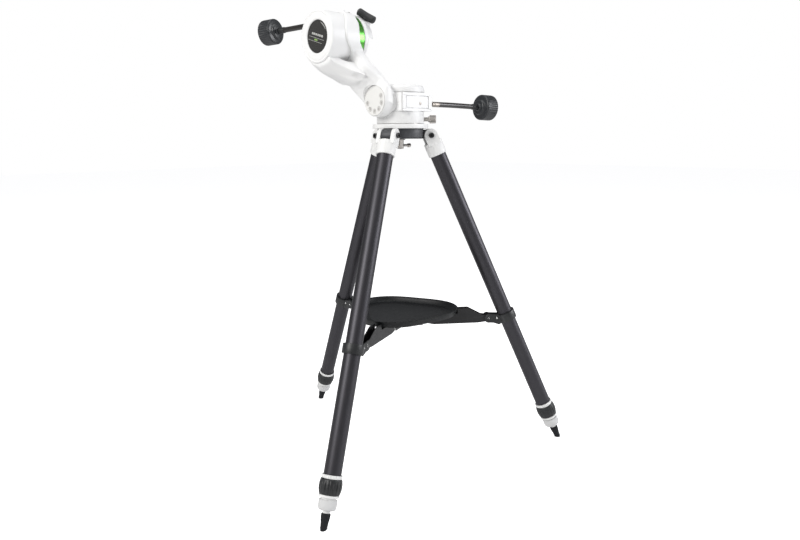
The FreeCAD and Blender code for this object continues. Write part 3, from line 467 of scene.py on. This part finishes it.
def worm_box():
    """The box on the casting's side: a raised frame round a recessed panel."""
    left, right, low, high = -38, 40, 33.2, 67.5
    bm = prism_into(bmesh.new(), rectangle(left, right, low, high), 12, 43.4, bevel=1.0)
    for strip in ((left, right, low, 37.6), (left, right, 62.6, high),
                  (left, -30, 37, 63), (34, right, 37, 63)):
        prism_into(bm, rectangle(*strip), 42, 46, bevel=0.5)
    prism_into(bm, rectangle(-28, 32, 39.2, 61), 42, 45.3, bevel=0.6)
    finish_mesh("worm_box", bm, "azimuth_unit", WHITE, place=WORM_BOX)


def neck_and_cap():
    """The neck that carries the arm's pivot, and the cap on top."""
    lathe("azimuth_neck", [(0, 20), (29, 20), (29, 46.8), (27, 48), (0, 48)], PIVOT, "azimuth_unit", WHITE,
          "white_coat", radius=0.8)
    cap = [(14, 69.3), (47.2, 69.3), (47.8, 70.2), (47.8, 77), (46.4, 80.8), (42.6, 83), (0, 83)]
    lathe("azimuth_top_cap", cap, HEAD, "azimuth_unit", WHITE, "white_coat", ["azimuth_cap"], radius=2.2)


def worm_box_screw():
    """A small screw in the worm box's panel, its slot a dark bar laid on the head: painted shade, not a cut
    slot.
    """
    head = lathe_into(bmesh.new(), [(0, 45.3), (2.9, 45.3), (2.9, 46.0), (2.2, 46.3), (0, 46.3)], segments=32,
                      radius=0.3)
    finish_mesh("worm_box_screw", head, "azimuth_unit", FERRULE, place=SET_SCREW)
    # the slot: a thin dark bar on the screw head, painted shade where a real slot would be cut
    slot = prism_into(bmesh.new(), rectangle(-2.3, 2.3, -0.35, 0.35), 46.2, 46.45, bevel=0.05)
    finish_mesh("worm_box_screw_slot_shade", slot, "azimuth_unit", BLACK_STEEL_AND_SLOT_SHADE,
                place=SET_SCREW @ SLOT_TURN)


def knurl(count, depth, low, high, least):
    """Teeth between two heights, on walls further out than least."""
    def wave(angle, r, z):
        return -depth * (0.5 - 0.5 * math.cos(count * angle)) if low < z < high and r > least else 0.0
    return wave


def lock_screw():
    """The knurled thumb screw that locks the azimuth axis."""
    outline = [(0, 8.7), (3.9, 8.7), (3.9, 55.6), (5.6, 55.8), (5.6, 58.4), (7.9, 58.6), (8.25, 59.2),
               (8.25, 70.2), (7.7, 71), (0, 71)]
    lathe("lock_screw", outline, joint_frame("azimuth_lock_turn"), "azimuth_lock", STEEL, "silver_steel",
          ["azimuth_lock_screw"], segments=240, radius=0.35, wave=knurl(30, 0.8, 58.9, 70.6, 6.5))


azimuth_body()
worm_box()
neck_and_cap()
worm_box_screw()
lock_screw()

# ------------------------------------------------------------ arm casting

ARM_LEAN = math.radians(30)


def arm_point(x, n, z):
    """A point in the arm's own frame: across, forward, and up the stem."""
    across = x * math.cos(ARM_LEAN) - z * math.sin(ARM_LEAN)
    up = x * math.sin(ARM_LEAN) + z * math.cos(ARM_LEAN)
    return Vector((pivot.x, azimuth.y, pivot.z)) / MM + Vector((across, -n, up))


def drum_point(dx, n, dz):
    """A point beside the altitude axis: across, forward, and up."""
    return DRUM.translation / MM + Vector((dx, -n, dz))


def round_drum(degrees, radius, n, top=1):
    """A point round the altitude axis, its angle counted from the top, or from the bottom where top is -1."""
    a = math.radians(degrees)
    return drum_point(radius * math.sin(a), n, top * radius * math.cos(a))


ARM_ACROSS = arm_point(1, 0, 0) - arm_point(0, 0, 0)


def strap():
    """The band round the drum: angle from the top towards the near side, rear edge, front edge, radius."""
    rows = [(0, 81, 99, 51), (24, 81, 101, 51), (37, 82, 108, 51), (49, 85, 113.5, 51), (60, 85, 118, 51),
            (70, 87, 121, 51), (82, 88.5, 123, 51), (90, 88.5, 122.5, 51), (97, 88, 121, 51.2),
            (102, 87, 118.5, 51.5), (110, 82, 113, 52), (116, 77, 108.5, 52.5), (125, 72, 102, 53.5),
            (131, 70, 99, 54.5), (136, 70, 95, 55.5), (150, 70, 92, 57), (163, 70, 90, 57), (180, 71, 90, 56),
            (205, 74, 92, 54), (230, 77, 98, 52), (260, 83, 112, 51), (300, 83, 108, 51), (340, 81, 100, 51),
            (360, 81, 99, 51)]
    count, inside = 180, 45
    loops = []
    for i in range(count):
        degrees = 360 * i / count
        rear, fore, outside = between(rows, degrees)
        section = [(inside, rear), (outside - 0.8, rear), (outside, rear + 1.2),
                   (outside, fore - 1.2), (outside - 0.8, fore), (inside, fore)]
        loops.append([round_drum(degrees, r, n) for r, n in section])
    return loft_into(bmesh.new(), loops, ring=True)


def stem():
    """From the boss up to the strap: height, far edge, near edge, rear, front."""
    rows = [(-20, -25, 26, 48.6, 69), (0, -31, 35, 48.6, 69.4), (8, -31, 38.5, 48.6, 69.6),
            (25, -29, 34.5, 48.6, 72), (37, -27, 32, 49.5, 81), (50, -25, 32, 55, 94),
            (60, -23, 31.5, 61, 97.5), (70, -22, 30, 66.5, 96), (80, -20, 29, 69, 97),
            (88, -16, 29, 72, 102), (95, -8, 30, 77, 104), (102, 6, 38, 81, 106)]
    loops = []
    for z in evenly(-20, 101, 40):
        far, near, rear, fore = between(rows, z)
        centre = arm_point((far + near) / 2, (rear + fore) / 2, z)
        loops.append(oval(centre, ARM_ACROSS, FRONT, (near - far) / 2, (fore - rear) / 2, power=3.6))
    return loft_into(bmesh.new(), loops)


def horn():
    """The root of the branch: share of the way, place round the altitude axis (3), half width, half depth."""
    rows = [(0, 63, 59, -112, 30, 9), (0.14, 52, 63, -99, 29, 11), (0.3, 41, 71, -86, 28.5, 14),
            (0.45, 33.5, 82, -76.5, 26.5, 14.5), (0.62, 30.5, 94, -72.5, 21.5, 13.5),
            (0.8, 26, 106, -68, 15.5, 10), (1, 20, 118, -65, 10, 6)]
    steps, smoothing = 44, 6
    stations = [between(rows, t) for t in evenly(0, 1, steps)]
    path = [drum_point(dx, n, dz) for dx, n, dz, wide, deep in stations]
    for _ in range(smoothing):
        path = path[:1] + [(a + b * 2 + c) / 4 for a, b, c in zip(path, path[1:], path[2:])] + path[-1:]
    loops = []
    for i, point in enumerate(path):
        wide, deep = stations[i][3:]
        ahead = (path[min(i + 1, steps)] - path[max(i - 1, 0)]).normalized()
        # the section turns from the arm's lean to level over the first 1/1.8 of the way
        across = ARM_ACROSS.lerp(Vector((1, 0, 0)), min(1, i / steps * 1.8))
        across = (across - ahead * across.dot(ahead)).normalized()
        down = ahead.cross(across).normalized()
        loops.append(oval(point, across, down, wide, deep, power=3.0))
    return loft_into(bmesh.new(), loops)


def cup():
    """The front of the branch, a shell that holds the drum from below.

    Each row: place forward, end angles counted from the bottom, outer radii at four angles, and the gap that
    the inside keeps from the drum on the near side.
    """
    rows = [(90, -15, 43, 78, 80, 86, 99, 20), (100, -24, 43, 73, 74, 80, 92, 18),
            (110, -32, 42, 69, 71.5, 76, 87, 16), (118, -38, 40, 66, 69, 72, 80, 11),
            (126, -43, 39, 62, 66, 69.2, 73, 5), (134, -49, 38, 57.6, 62, 65, 66, 1),
            (140, -54, 37, 54.5, 58.5, 61, 61.5, 0), (146, -58, 38, 51, 54, 56.5, 57.5, 0),
            (149.4, -60, 38, 49.8, 51.6, 53.6, 55, 0)]
    inside, steps = 44, 24
    loops = []
    for n in evenly(90, 149.4, 33):
        low, high, *radii, gap = between(rows, n)
        shoulder = -20 if low < -22 else low + 3
        outline = list(zip((low, shoulder, 0, high), radii))
        outer = [round_drum(d, between(outline, d)[0], n, top=-1) for d in evenly(low, high, steps)]
        # the gap opens between 6 and 30 degrees round
        inner = [round_drum(d, inside + gap * min(1, max(0, (d - 6) / 24)), n, top=-1)
                 for d in evenly(high, low, steps)]
        loops.append(outer + inner)
    return loft_into(bmesh.new(), loops)


def boss():
    """The round boss on the arm's pivot."""
    outline = [(0, 48.7), (31.4, 48.7), (32, 49.7), (31.2, 60), (29.9, 68.4), (28.9, 69.6), (0, 69.6)]
    bm = lathe_into(bmesh.new(), outline, radius=0.8)
    bmesh.ops.scale(bm, vec=(MM,) * 3, verts=bm.verts)
    bmesh.ops.transform(bm, matrix=PIVOT, verts=bm.verts)
    bmesh.ops.scale(bm, vec=(1 / MM,) * 3, verts=bm.verts)
    return bm


def arm_casting():
    """Strap, stem, branch and boss grown into one skin, blended, then bored."""
    whole = bmesh.new()
    for bm in (strap(), stem(), horn(), cup(), boss()):
        merge(whole, bm)
    arm = mesh_object("arm_casting", whole, WHITE)
    skin = arm.modifiers.new("skin", "REMESH")
    skin.mode = "VOXEL"
    skin.voxel_size = 1.3 * MM
    blend = arm.modifiers.new("blend", "SMOOTH")
    blend.factor = 0.5
    blend.iterations = 9
    applied(arm)
    drum_seat, trunnion_bore = plug(48.05, 20, 200, DRUM), plug(24.05, 20, 90, PIVOT)
    disc_recess, behind_boss = plug(28.5, 65.9, 120, PIVOT), plug(70, 30, 48.65, PIVOT)
    worm_exit = plug(9.6, 30, 80, ALTITUDE_WORM)
    bored(arm, drum_seat, trunnion_bore, disc_recess, worm_exit, behind_boss)
    shade(arm.data, sharp=48)
    arm.data.materials.clear()
    arm.data.materials.append(WHITE)
    dress(arm, "arm", ["swing_arm"])


arm_casting()

# ------------------------------------------------------------ drum

PRINT_HEIGHTS = (151.45, 151.62)
HIGHLIGHT_ARC_HEIGHTS = (151.42, 151.58)
LABEL_TILTED = DRUM @ Matrix.Rotation(math.radians(-17), 4, "Z")


def drum_body():
    """The drum, the ring round its front, and the label disc inside the ring."""
    shell = [(16.1, 81.4), (19.9, 81.4), (19.9, 96.2), (47.2, 96.2), (47.9, 97), (47.9, 149.4), (47.4, 149.9),
             (44.2, 149.9), (44, 149.5), (44, 100.9), (16.1, 100.9)]
    lathe("drum_shell", shell, DRUM, "arm", WHITE, "white_coat", ["drum_casing"], segments=160, radius=0.5)
    rim = [(29.9, 148.2), (47.4, 148.2), (47.9, 150.1), (47.9, 151.6), (46.4, 153), (44.6, 153),
           (44.0, 152.1), (43.0, 152.1), (42.4, 153), (31.9, 153), (30.2, 151.4)]
    lathe("drum_rim", rim, DRUM, "arm", WHITE, "white_coat", ["drum_front_ring"], segments=160, radius=0.5)
    disc = [(0, 149), (29.7, 149), (29.8, 151.0), (29.4, 151.4), (0, 151.5)]
    lathe("drum_label_disc", disc, DRUM, "arm", LABEL, "label", ["drum_label"], segments=128, radius=0.3)


def printed(bm, x0, x1, y0, y1):
    """A flat bar of print on the label."""
    return prism_into(bm, rectangle(x0, x1, y0, y1), *PRINT_HEIGHTS, bevel=0.05, segments=1)


def label_print_and_highlight():
    """Plain lines and bars where a label would be printed, and near its edge a thin grey arc that is a
    painted highlight.
    """
    bm = bmesh.new()
    for x0, x1, y in ((-23, 21, -3.2), (-25, 17, -9.8)):
        printed(bm, x0, x1, y - 0.28, y + 0.28)
    for x, half in ((-15, 1.8), (-9.6, 2.4), (-3.4, 2.2), (2.4, 2.0), (8, 2.2), (14.2, 2.6)):
        printed(bm, x - half, x + half, 1.2, 5.0)
    finish_mesh("label_lines", bm, "arm", GREY_PRINT_AND_HIGHLIGHT, place=LABEL_TILTED)
    finish_mesh("label_bar", printed(bmesh.new(), -6.5, 2.5, -8, -5), "arm", PRINT_GREEN,
                place=LABEL_TILTED)
    # the arc near the label's upper edge: a painted highlight on the glossy black disc, in the grey of the
    # print
    finish_mesh("label_highlight_arc", prism_into(bmesh.new(), crescent(22, 66), *HIGHLIGHT_ARC_HEIGHTS, bevel=0), "arm", GREY_PRINT_AND_HIGHLIGHT,
                place=DRUM)


def crescent(first, last, steps=12):
    """An arc between two angles, thin at its ends."""
    outline = []
    for degrees in evenly(first, last, steps):
        a = math.radians(degrees)
        outline.append((27.2 * math.cos(a), 27.2 * math.sin(a)))
    for i, degrees in enumerate(evenly(last, first, steps)):
        a = math.radians(degrees)
        inside = 26.8 - 1.1 * math.sin(math.pi * i / steps)
        outline.append((inside * math.cos(a), inside * math.sin(a)))
    return outline


def on_strap(forward, degrees):
    """+Z out of the drum's axis, so many millimetres forward and so many degrees round from the top."""
    a = math.radians(degrees)
    origin = DRUM.translation + Vector((0, -forward * MM, 0))
    return frame_of(origin, Vector((math.sin(a), 0, math.cos(a))), FRONT)


def drum_fittings():
    """The worm's exit boss, the pad and the grub screw on the strap, and the ring behind the drum."""
    lathe("drum_exit_boss", [(6.5, 30), (9, 30), (9, 53), (8.2, 54), (6.5, 54)], ALTITUDE_WORM, "arm", WHITE,
          "white_coat", segments=64, radius=0.5)
    lathe("strap_pad", [(0, 49), (4.6, 49), (4.2, 52.2), (3.2, 52.8), (0, 52.9)], on_strap(94.5, 9), "arm",
          WHITE, "white_coat", segments=48, radius=0.6)
    lathe("strap_grub_screw", [(0, 50.4), (1.7, 50.4), (1.7, 51.3), (1.0, 51.3), (0.9, 50.7), (0, 50.7)],
          on_strap(86.8, 21), "arm", BLACK_STEEL_AND_SLOT_SHADE, "black_steel", segments=32, radius=0.12)
    ring = [(8, 72.6), (45.4, 72.6), (46.5, 73.6), (46.5, 94.4), (45.8, 95.2), (41.6, 95.2), (41.6, 80.6),
            (8, 80.6)]
    lathe("slip_ring", ring, DRUM, "saddle", GREEN, "green_ring", ["altitude_slip_ring"], segments=160,
          radius=0.5)


def wing_knob():
    """The saddle's clamp knob: a bar with rounded ends over a round foot, and its stud."""
    half, rounded_from, rounded_part = 19, 0.82, 0.18
    loops = []
    for x in evenly(-half, half, 24):
        t = abs(x) / half
        end = math.sqrt(max(0.0, 1 - max(0, (t - rounded_from) / rounded_part) ** 2))
        tall = (6.3 + 0.5 * t) * (0.6 + 0.4 * end)
        deep = (6.6 + 0.8 * t) * (0.6 + 0.4 * end)
        centre = Vector((x, 0, 53.6 + 0.1 * t))
        loops.append(oval(centre, Vector((0, 1, 0)), Vector((0, 0, 1)), deep, tall, power=3.2, count=28))
    bm = loft_into(bmesh.new(), loops)
    lathe_into(bm, [(0, 40), (2.5, 40), (2.5, 46.7), (6.9, 46.7), (7, 50), (6.6, 53), (6, 57.6), (0, 58.4)],
               segments=48, radius=0.6)
    bar = Matrix.Rotation(math.radians(30), 3, along("clamp_knob_turn")) @ Vector((0, 1, 0))
    finish_mesh("saddle_wing_knob", bm, "clamp_knob", PLASTIC, ["saddle_clamp_knob"],
                joint_frame("clamp_knob_turn", back=46.6, y=bar))


drum_body()
label_print_and_highlight()
drum_fittings()
wing_knob()

# ------------------------------------------------------------ slow motion controls


def ribs(fit, wall=25.5, count=34, depth=1.4, low=12, high=36, fade=1.5):
    """Ribs round a grip's wall that fade out at both ends; fit scales the grip's radius."""
    def wave(angle, r, z):
        if r < wall * fit or not low < z < high:
            return 0.0
        tooth = 0.5 - 0.5 * math.cos(count * angle)
        return -depth * tooth ** 2 * min(1, (z - low) / fade, (high - z) / fade)
    return wave


def control(name, worm, shaft_end, owner, fit):
    """Ferrule, ribbed grip, and the boot where the shaft goes into the grip."""
    start = shaft_end - 10
    sleeve = [(3.6, 0), (4.6, 0), (5.2, 0.8), (5.2, 5.6), (4.8, 6.2), (4.8, 7.4), (5.2, 8), (5.2, 21.4),
              (4.6, 22), (0, 22)]
    lathe(f"{name}_ferrule_sleeve", [(r, start + z) for r, z in sleeve], worm, f"{name}_worm", FERRULE,
          "silver_steel", [f"{name}_ferrule"], segments=64, radius=0.3, closed=False)
    grip = [(0, 0.2), (6.6, 0.2), (7.6, 1.2), (8.4, 2.6), (14.2, 3.2), (15.8, 4.4), (16.8, 7.4), (22.8, 8.2),
            (25.6, 9), (26.9, 10.6), (26.9, 35.4), (26, 37.2), (23.6, 38), (15.8, 38), (14.4, 36.8),
            (0, 36.6)]
    turn = f"{name}_control_turn"
    lathe(f"{name}_grip", [(r * fit, z) for r, z in grip], joint_frame(turn), f"{name}_control", GRIP,
          "black_plastic", [f"{name}_knob"], segments=272, radius=0.9, wave=ribs(fit))
    lathe(f"{name}_boot", [(5.25, 0), (6.0, 0.2), (6.0, 13), (5.5, 14), (5.25, 14)],
          joint_frame(turn, back=14.3), owner, PLASTIC, "black_plastic", segments=48, radius=0.3)


control("azimuth", AZIMUTH_WORM, 60, "azimuth_unit", fit=0.98)
control("altitude", ALTITUDE_WORM, 58, "arm", fit=0.94)

# ------------------------------------------------------------ legs


def flutes(angle, r, z, wall=16.5, count=18, depth=1.1, low=645.5, high=668.5):
    """Finger flutes down the twist nut's wall, fading out over 2 mm above and 3 mm below."""
    if r < wall or not low < z < high:
        return 0.0
    dip = max(0.0, math.cos(count * angle)) ** 2
    return -depth * dip * min(1, (z - low) / 2, (high - z) / 3)


def leg_end(letter, leg):
    """The ring at the tube's end and the twist nut below it."""
    lathe(f"tube_ring_{letter}", [(14.6, 637), (17.9, 637), (18.5, 637.6), (18.5, 642.6), (18.0, 643.3),
                                  (14.6, 643.3)], leg, f"leg_{letter}", NECK, "white_yoke", radius=0.6)
    nut = [(14.8, 643.8), (18.4, 643.8), (19.4, 644.8), (20.6, 652), (20.75, 658), (20.4, 662), (18.8, 669),
           (17.8, 670.4), (14.8, 670.4)]
    lathe(f"twist_lock_{letter}", nut, leg, f"nut_{letter}", PLASTIC, "black_plastic",
          [f"twist_nut_{letter}"], segments=216, radius=0.8, wave=flutes)


def inner_leg(letter, leg):
    """The inner tube with its necked end, and the sleeve over it."""
    tube = [(13, 90), (14.3, 90), (14.3, 671.1), (18.3, 671.2), (18.5, 672), (18.3, 675), (14.2, 676.4),
            (13.8, 678.9), (6.8, 678.9), (6.8, 690), (6.8, 702), (4, 702)]
    lathe(f"inner_tube_{letter}", tube, leg, f"inner_{letter}", NECK, "inner_tube", [f"inner_leg_{letter}"],
          radius=0.4)
    sleeve = [(6.9, 678.8), (16, 678.8), (16.75, 679.6), (16.75, 690.4), (16.1, 694), (14, 696.6),
              (10.5, 697.6), (6.9, 697.7)]
    lathe(f"foot_sleeve_{letter}", sleeve, leg, f"inner_{letter}", SLEEVE, "inner_tube", radius=0.8)


def foot_tip(letter, leg):
    """The rubber tip, cut level where it stands on the floor."""
    tip = [(0, 703), (4, 702.3), (7.8, 702.3), (8.4, 703.2), (8.4, 708), (7.9, 712), (7.7, 714.4), (7.1, 716),
           (6.2, 725), (6.6, 727), (5.6, 729.4), (5.4, 735), (0, 735)]
    foot = mesh_object(f"foot_tip_{letter}", lathe_into(bmesh.new(), tip, radius=0.5), RUBBER, leg)
    below_floor = prism_into(bmesh.new(), rectangle(-400, 400, -400, 400), -60, 0.0, bevel=0)
    bored(foot, mesh_object("cutter", below_floor, RUBBER))
    shade(foot.data)
    dress(foot, f"inner_{letter}", [f"rubber_foot_{letter}"])


def bracket_rivets(letter):
    """Two rivets on each side of the collar's bracket."""
    pin = spoke_frame(letter)
    half_width = 10.7
    for i, (out, up, radius) in enumerate(((0, 0, 3.0), (17.5, 0.5, 2.3))):
        head = [(0, -0.6), (radius, -0.6), (radius, 0.5), (radius * 0.75, 1.3), (0, 1.6)]
        for side, mark in ((1, "b"), (-1, "a")):
            centre = pin @ (Vector((out, half_width * side, up)) * MM)
            face = frame_of(centre, pin.to_3x3() @ Vector((0, side, 0)))
            lathe(f"bracket_rivet_{letter}{i}{mark}", head, face, f"leg_{letter}", RIVET, "silver_steel",
                  segments=40, radius=0.6)


for letter in "abc":
    leg = leg_frame(letter)
    leg_end(letter, leg)
    inner_leg(letter, leg)
    foot_tip(letter, leg)
    bracket_rivets(letter)

# ------------------------------------------------------------ accessory tray


def tray_outline(inset, count=40):
    """A rounded triangle with crowned sides, its corners over the spreader arms."""
    loop = []
    for letter in "abc":
        heading = spoke_frame(letter).to_3x3() @ Vector((1, 0, 0))
        corner = math.atan2(heading.y, heading.x)
        for i in range(count):
            t = -60 + 120 * i / count
            dip = (0.5 - 0.5 * math.cos(math.radians(min(180, abs(t) * 3)))) ** 1.15
            loop.append((corner + math.radians(t), 119.0 - 20.0 * dip - inset))
    loop.sort()
    return [(r * math.cos(a), r * math.sin(a)) for a, r in loop]


def tray():
    """Floor, sloped wall and rolled rim as one closed skin: height and inset from the outline."""
    wall = [(299.4, 6.5), (299.25, 5.5), (300.2, 4.4), (308, 2.0), (310.6, 0.4), (311.6, 0.3), (312.0, 1.0),
            (311.5, 1.9), (308, 3.9), (302.2, 6.3), (300.9, 8.2), (300.7, 10.5)]
    moulded_ring = [(300.7, 30), (301.1, 31), (301.1, 32.4), (300.7, 33.4)]
    x0, y0 = azimuth.x / MM, azimuth.y / MM
    loops = [[(x0 + x, y0 + y, z) for x, y in tray_outline(inset)] for z, inset in wall + moulded_ring]
    finish_mesh("tray_dish", loft_into(bmesh.new(), loops), "tray", TRAY, ["accessory_tray"])


tray()

# ------------------------------------------------------------ eased CAD castings

for node, width in (("tripod_head", 0.9), ("spreader_hub", 0.4), ("dovetail_saddle", 0.7),
                    ("saddle_jaw", 0.6), ("worm_end_plate", 0.6), ("pivot_clamp_disc", 0.5),
                    ("centre_bolt", 0.4)):
    eased(node, width)
for letter in "abc":
    eased("leg_yoke_" + letter, 1.0)
    eased("leg_collar_" + letter, 0.7)
    eased("spreader_arm_" + letter, 0.5)

# ------------------------------------------------------------ floor, light, camera

FLOOR_GLOW = 0.74
AMBIENT = (0.27, 0.272, 0.28, 1)
BACKDROP = (1, 1, 1, 1)


def floor():
    """A pale floor that looks as white as the backdrop, without lighting the part from below."""
    bm = bmesh.new()
    bmesh.ops.create_grid(bm, x_segments=1, y_segments=1, size=14)
    mesh = bpy.data.meshes.new("floor")
    bm.to_mesh(mesh)
    bm.free()
    ground = bpy.data.objects.new("floor", mesh)
    ground.location.z = -0.2 * MM
    scene.collection.objects.link(ground)
    pale = surface("pale_floor", (0.9, 0.9, 0.9), 0.9, grain=60, bump=0.0, mottle=0.005, specular=0.1)
    nodes, links = pale.node_tree.nodes, pale.node_tree.links
    shader = nodes["Principled BSDF"]
    shader.inputs["Emission Color"].default_value = (1, 1, 1, 1)
    seen = nodes.new("ShaderNodeLightPath")
    level = nodes.new("ShaderNodeMath")
    level.operation = "MULTIPLY"
    level.inputs[1].default_value = FLOOR_GLOW
    links.new(seen.outputs["Is Camera Ray"], level.inputs[0])
    links.new(level.outputs["Value"], shader.inputs["Emission Strength"])
    mesh.materials.append(pale)


def studio():
    """White to the camera, a dim even light to everything else."""
    world = bpy.data.worlds.new("studio")
    world.use_nodes = True
    nodes, links = world.node_tree.nodes, world.node_tree.links
    rays = nodes.new("ShaderNodeLightPath")
    mix = nodes.new("ShaderNodeMix")
    mix.data_type = "RGBA"
    mix.inputs["A"].default_value = AMBIENT
    mix.inputs["B"].default_value = BACKDROP
    links.new(rays.outputs["Is Camera Ray"], mix.inputs["Factor"])
    links.new(mix.outputs["Result"], nodes["Background"].inputs["Color"])
    nodes["Background"].inputs["Strength"].default_value = 1.0
    scene.world = world


def lamps():
    """Three soft square lamps: name, place, what it points at, size, power, colour."""
    for name, place, target, size, power, colour in (
            ("key", (0.1, -2.6, 1.9), (0, 0, 0.6), 1.3, 57, (1, 0.99, 0.97)),
            ("side", (2.2, 2.0, 1.3), (0, 0, 0.6), 1.2, 52, (0.97, 0.975, 1)),
            ("top", (0.3, -0.2, 3.2), (0, 0, 0.4), 2.4, 36, (1, 1, 1))):
        lamp = bpy.data.lights.new(name, "AREA")
        lamp.shape = "SQUARE"
        lamp.size = size
        lamp.energy = power
        lamp.color = colour
        holder = bpy.data.objects.new(name, lamp)
        holder.location = place
        holder.rotation_euler = (Vector(target) - Vector(place)).to_track_quat("-Z", "Y").to_euler()
        scene.collection.objects.link(holder)


def camera():
    """At about the tripod head's height, in front and to the right, looking slightly down."""
    lens = bpy.data.cameras.new("camera")
    lens.sensor_width = 36
    lens.lens = 30.435
    lens.clip_start, lens.clip_end = 0.05, 50
    eye = bpy.data.objects.new("camera", lens)
    scene.collection.objects.link(eye)
    away, height = 1.3862, 0.6634
    bearing, aside, pitch, roll = (math.radians(a) for a in (45, 0.12, -11.033, 0.409))
    spot = Vector((azimuth.x + away * math.sin(bearing), azimuth.y - away * math.cos(bearing), height))
    look = (Matrix.Rotation(bearing + aside, 4, "Z") @ Matrix.Rotation(pitch, 4, "X")
            @ Matrix.Rotation(roll, 4, "Y") @ Matrix.Rotation(math.radians(90), 4, "X"))
    eye.matrix_world = Matrix.Translation(spot) @ look
    scene.camera = eye


floor()
studio()
lamps()
camera()
scene.view_settings.view_transform = "Standard"
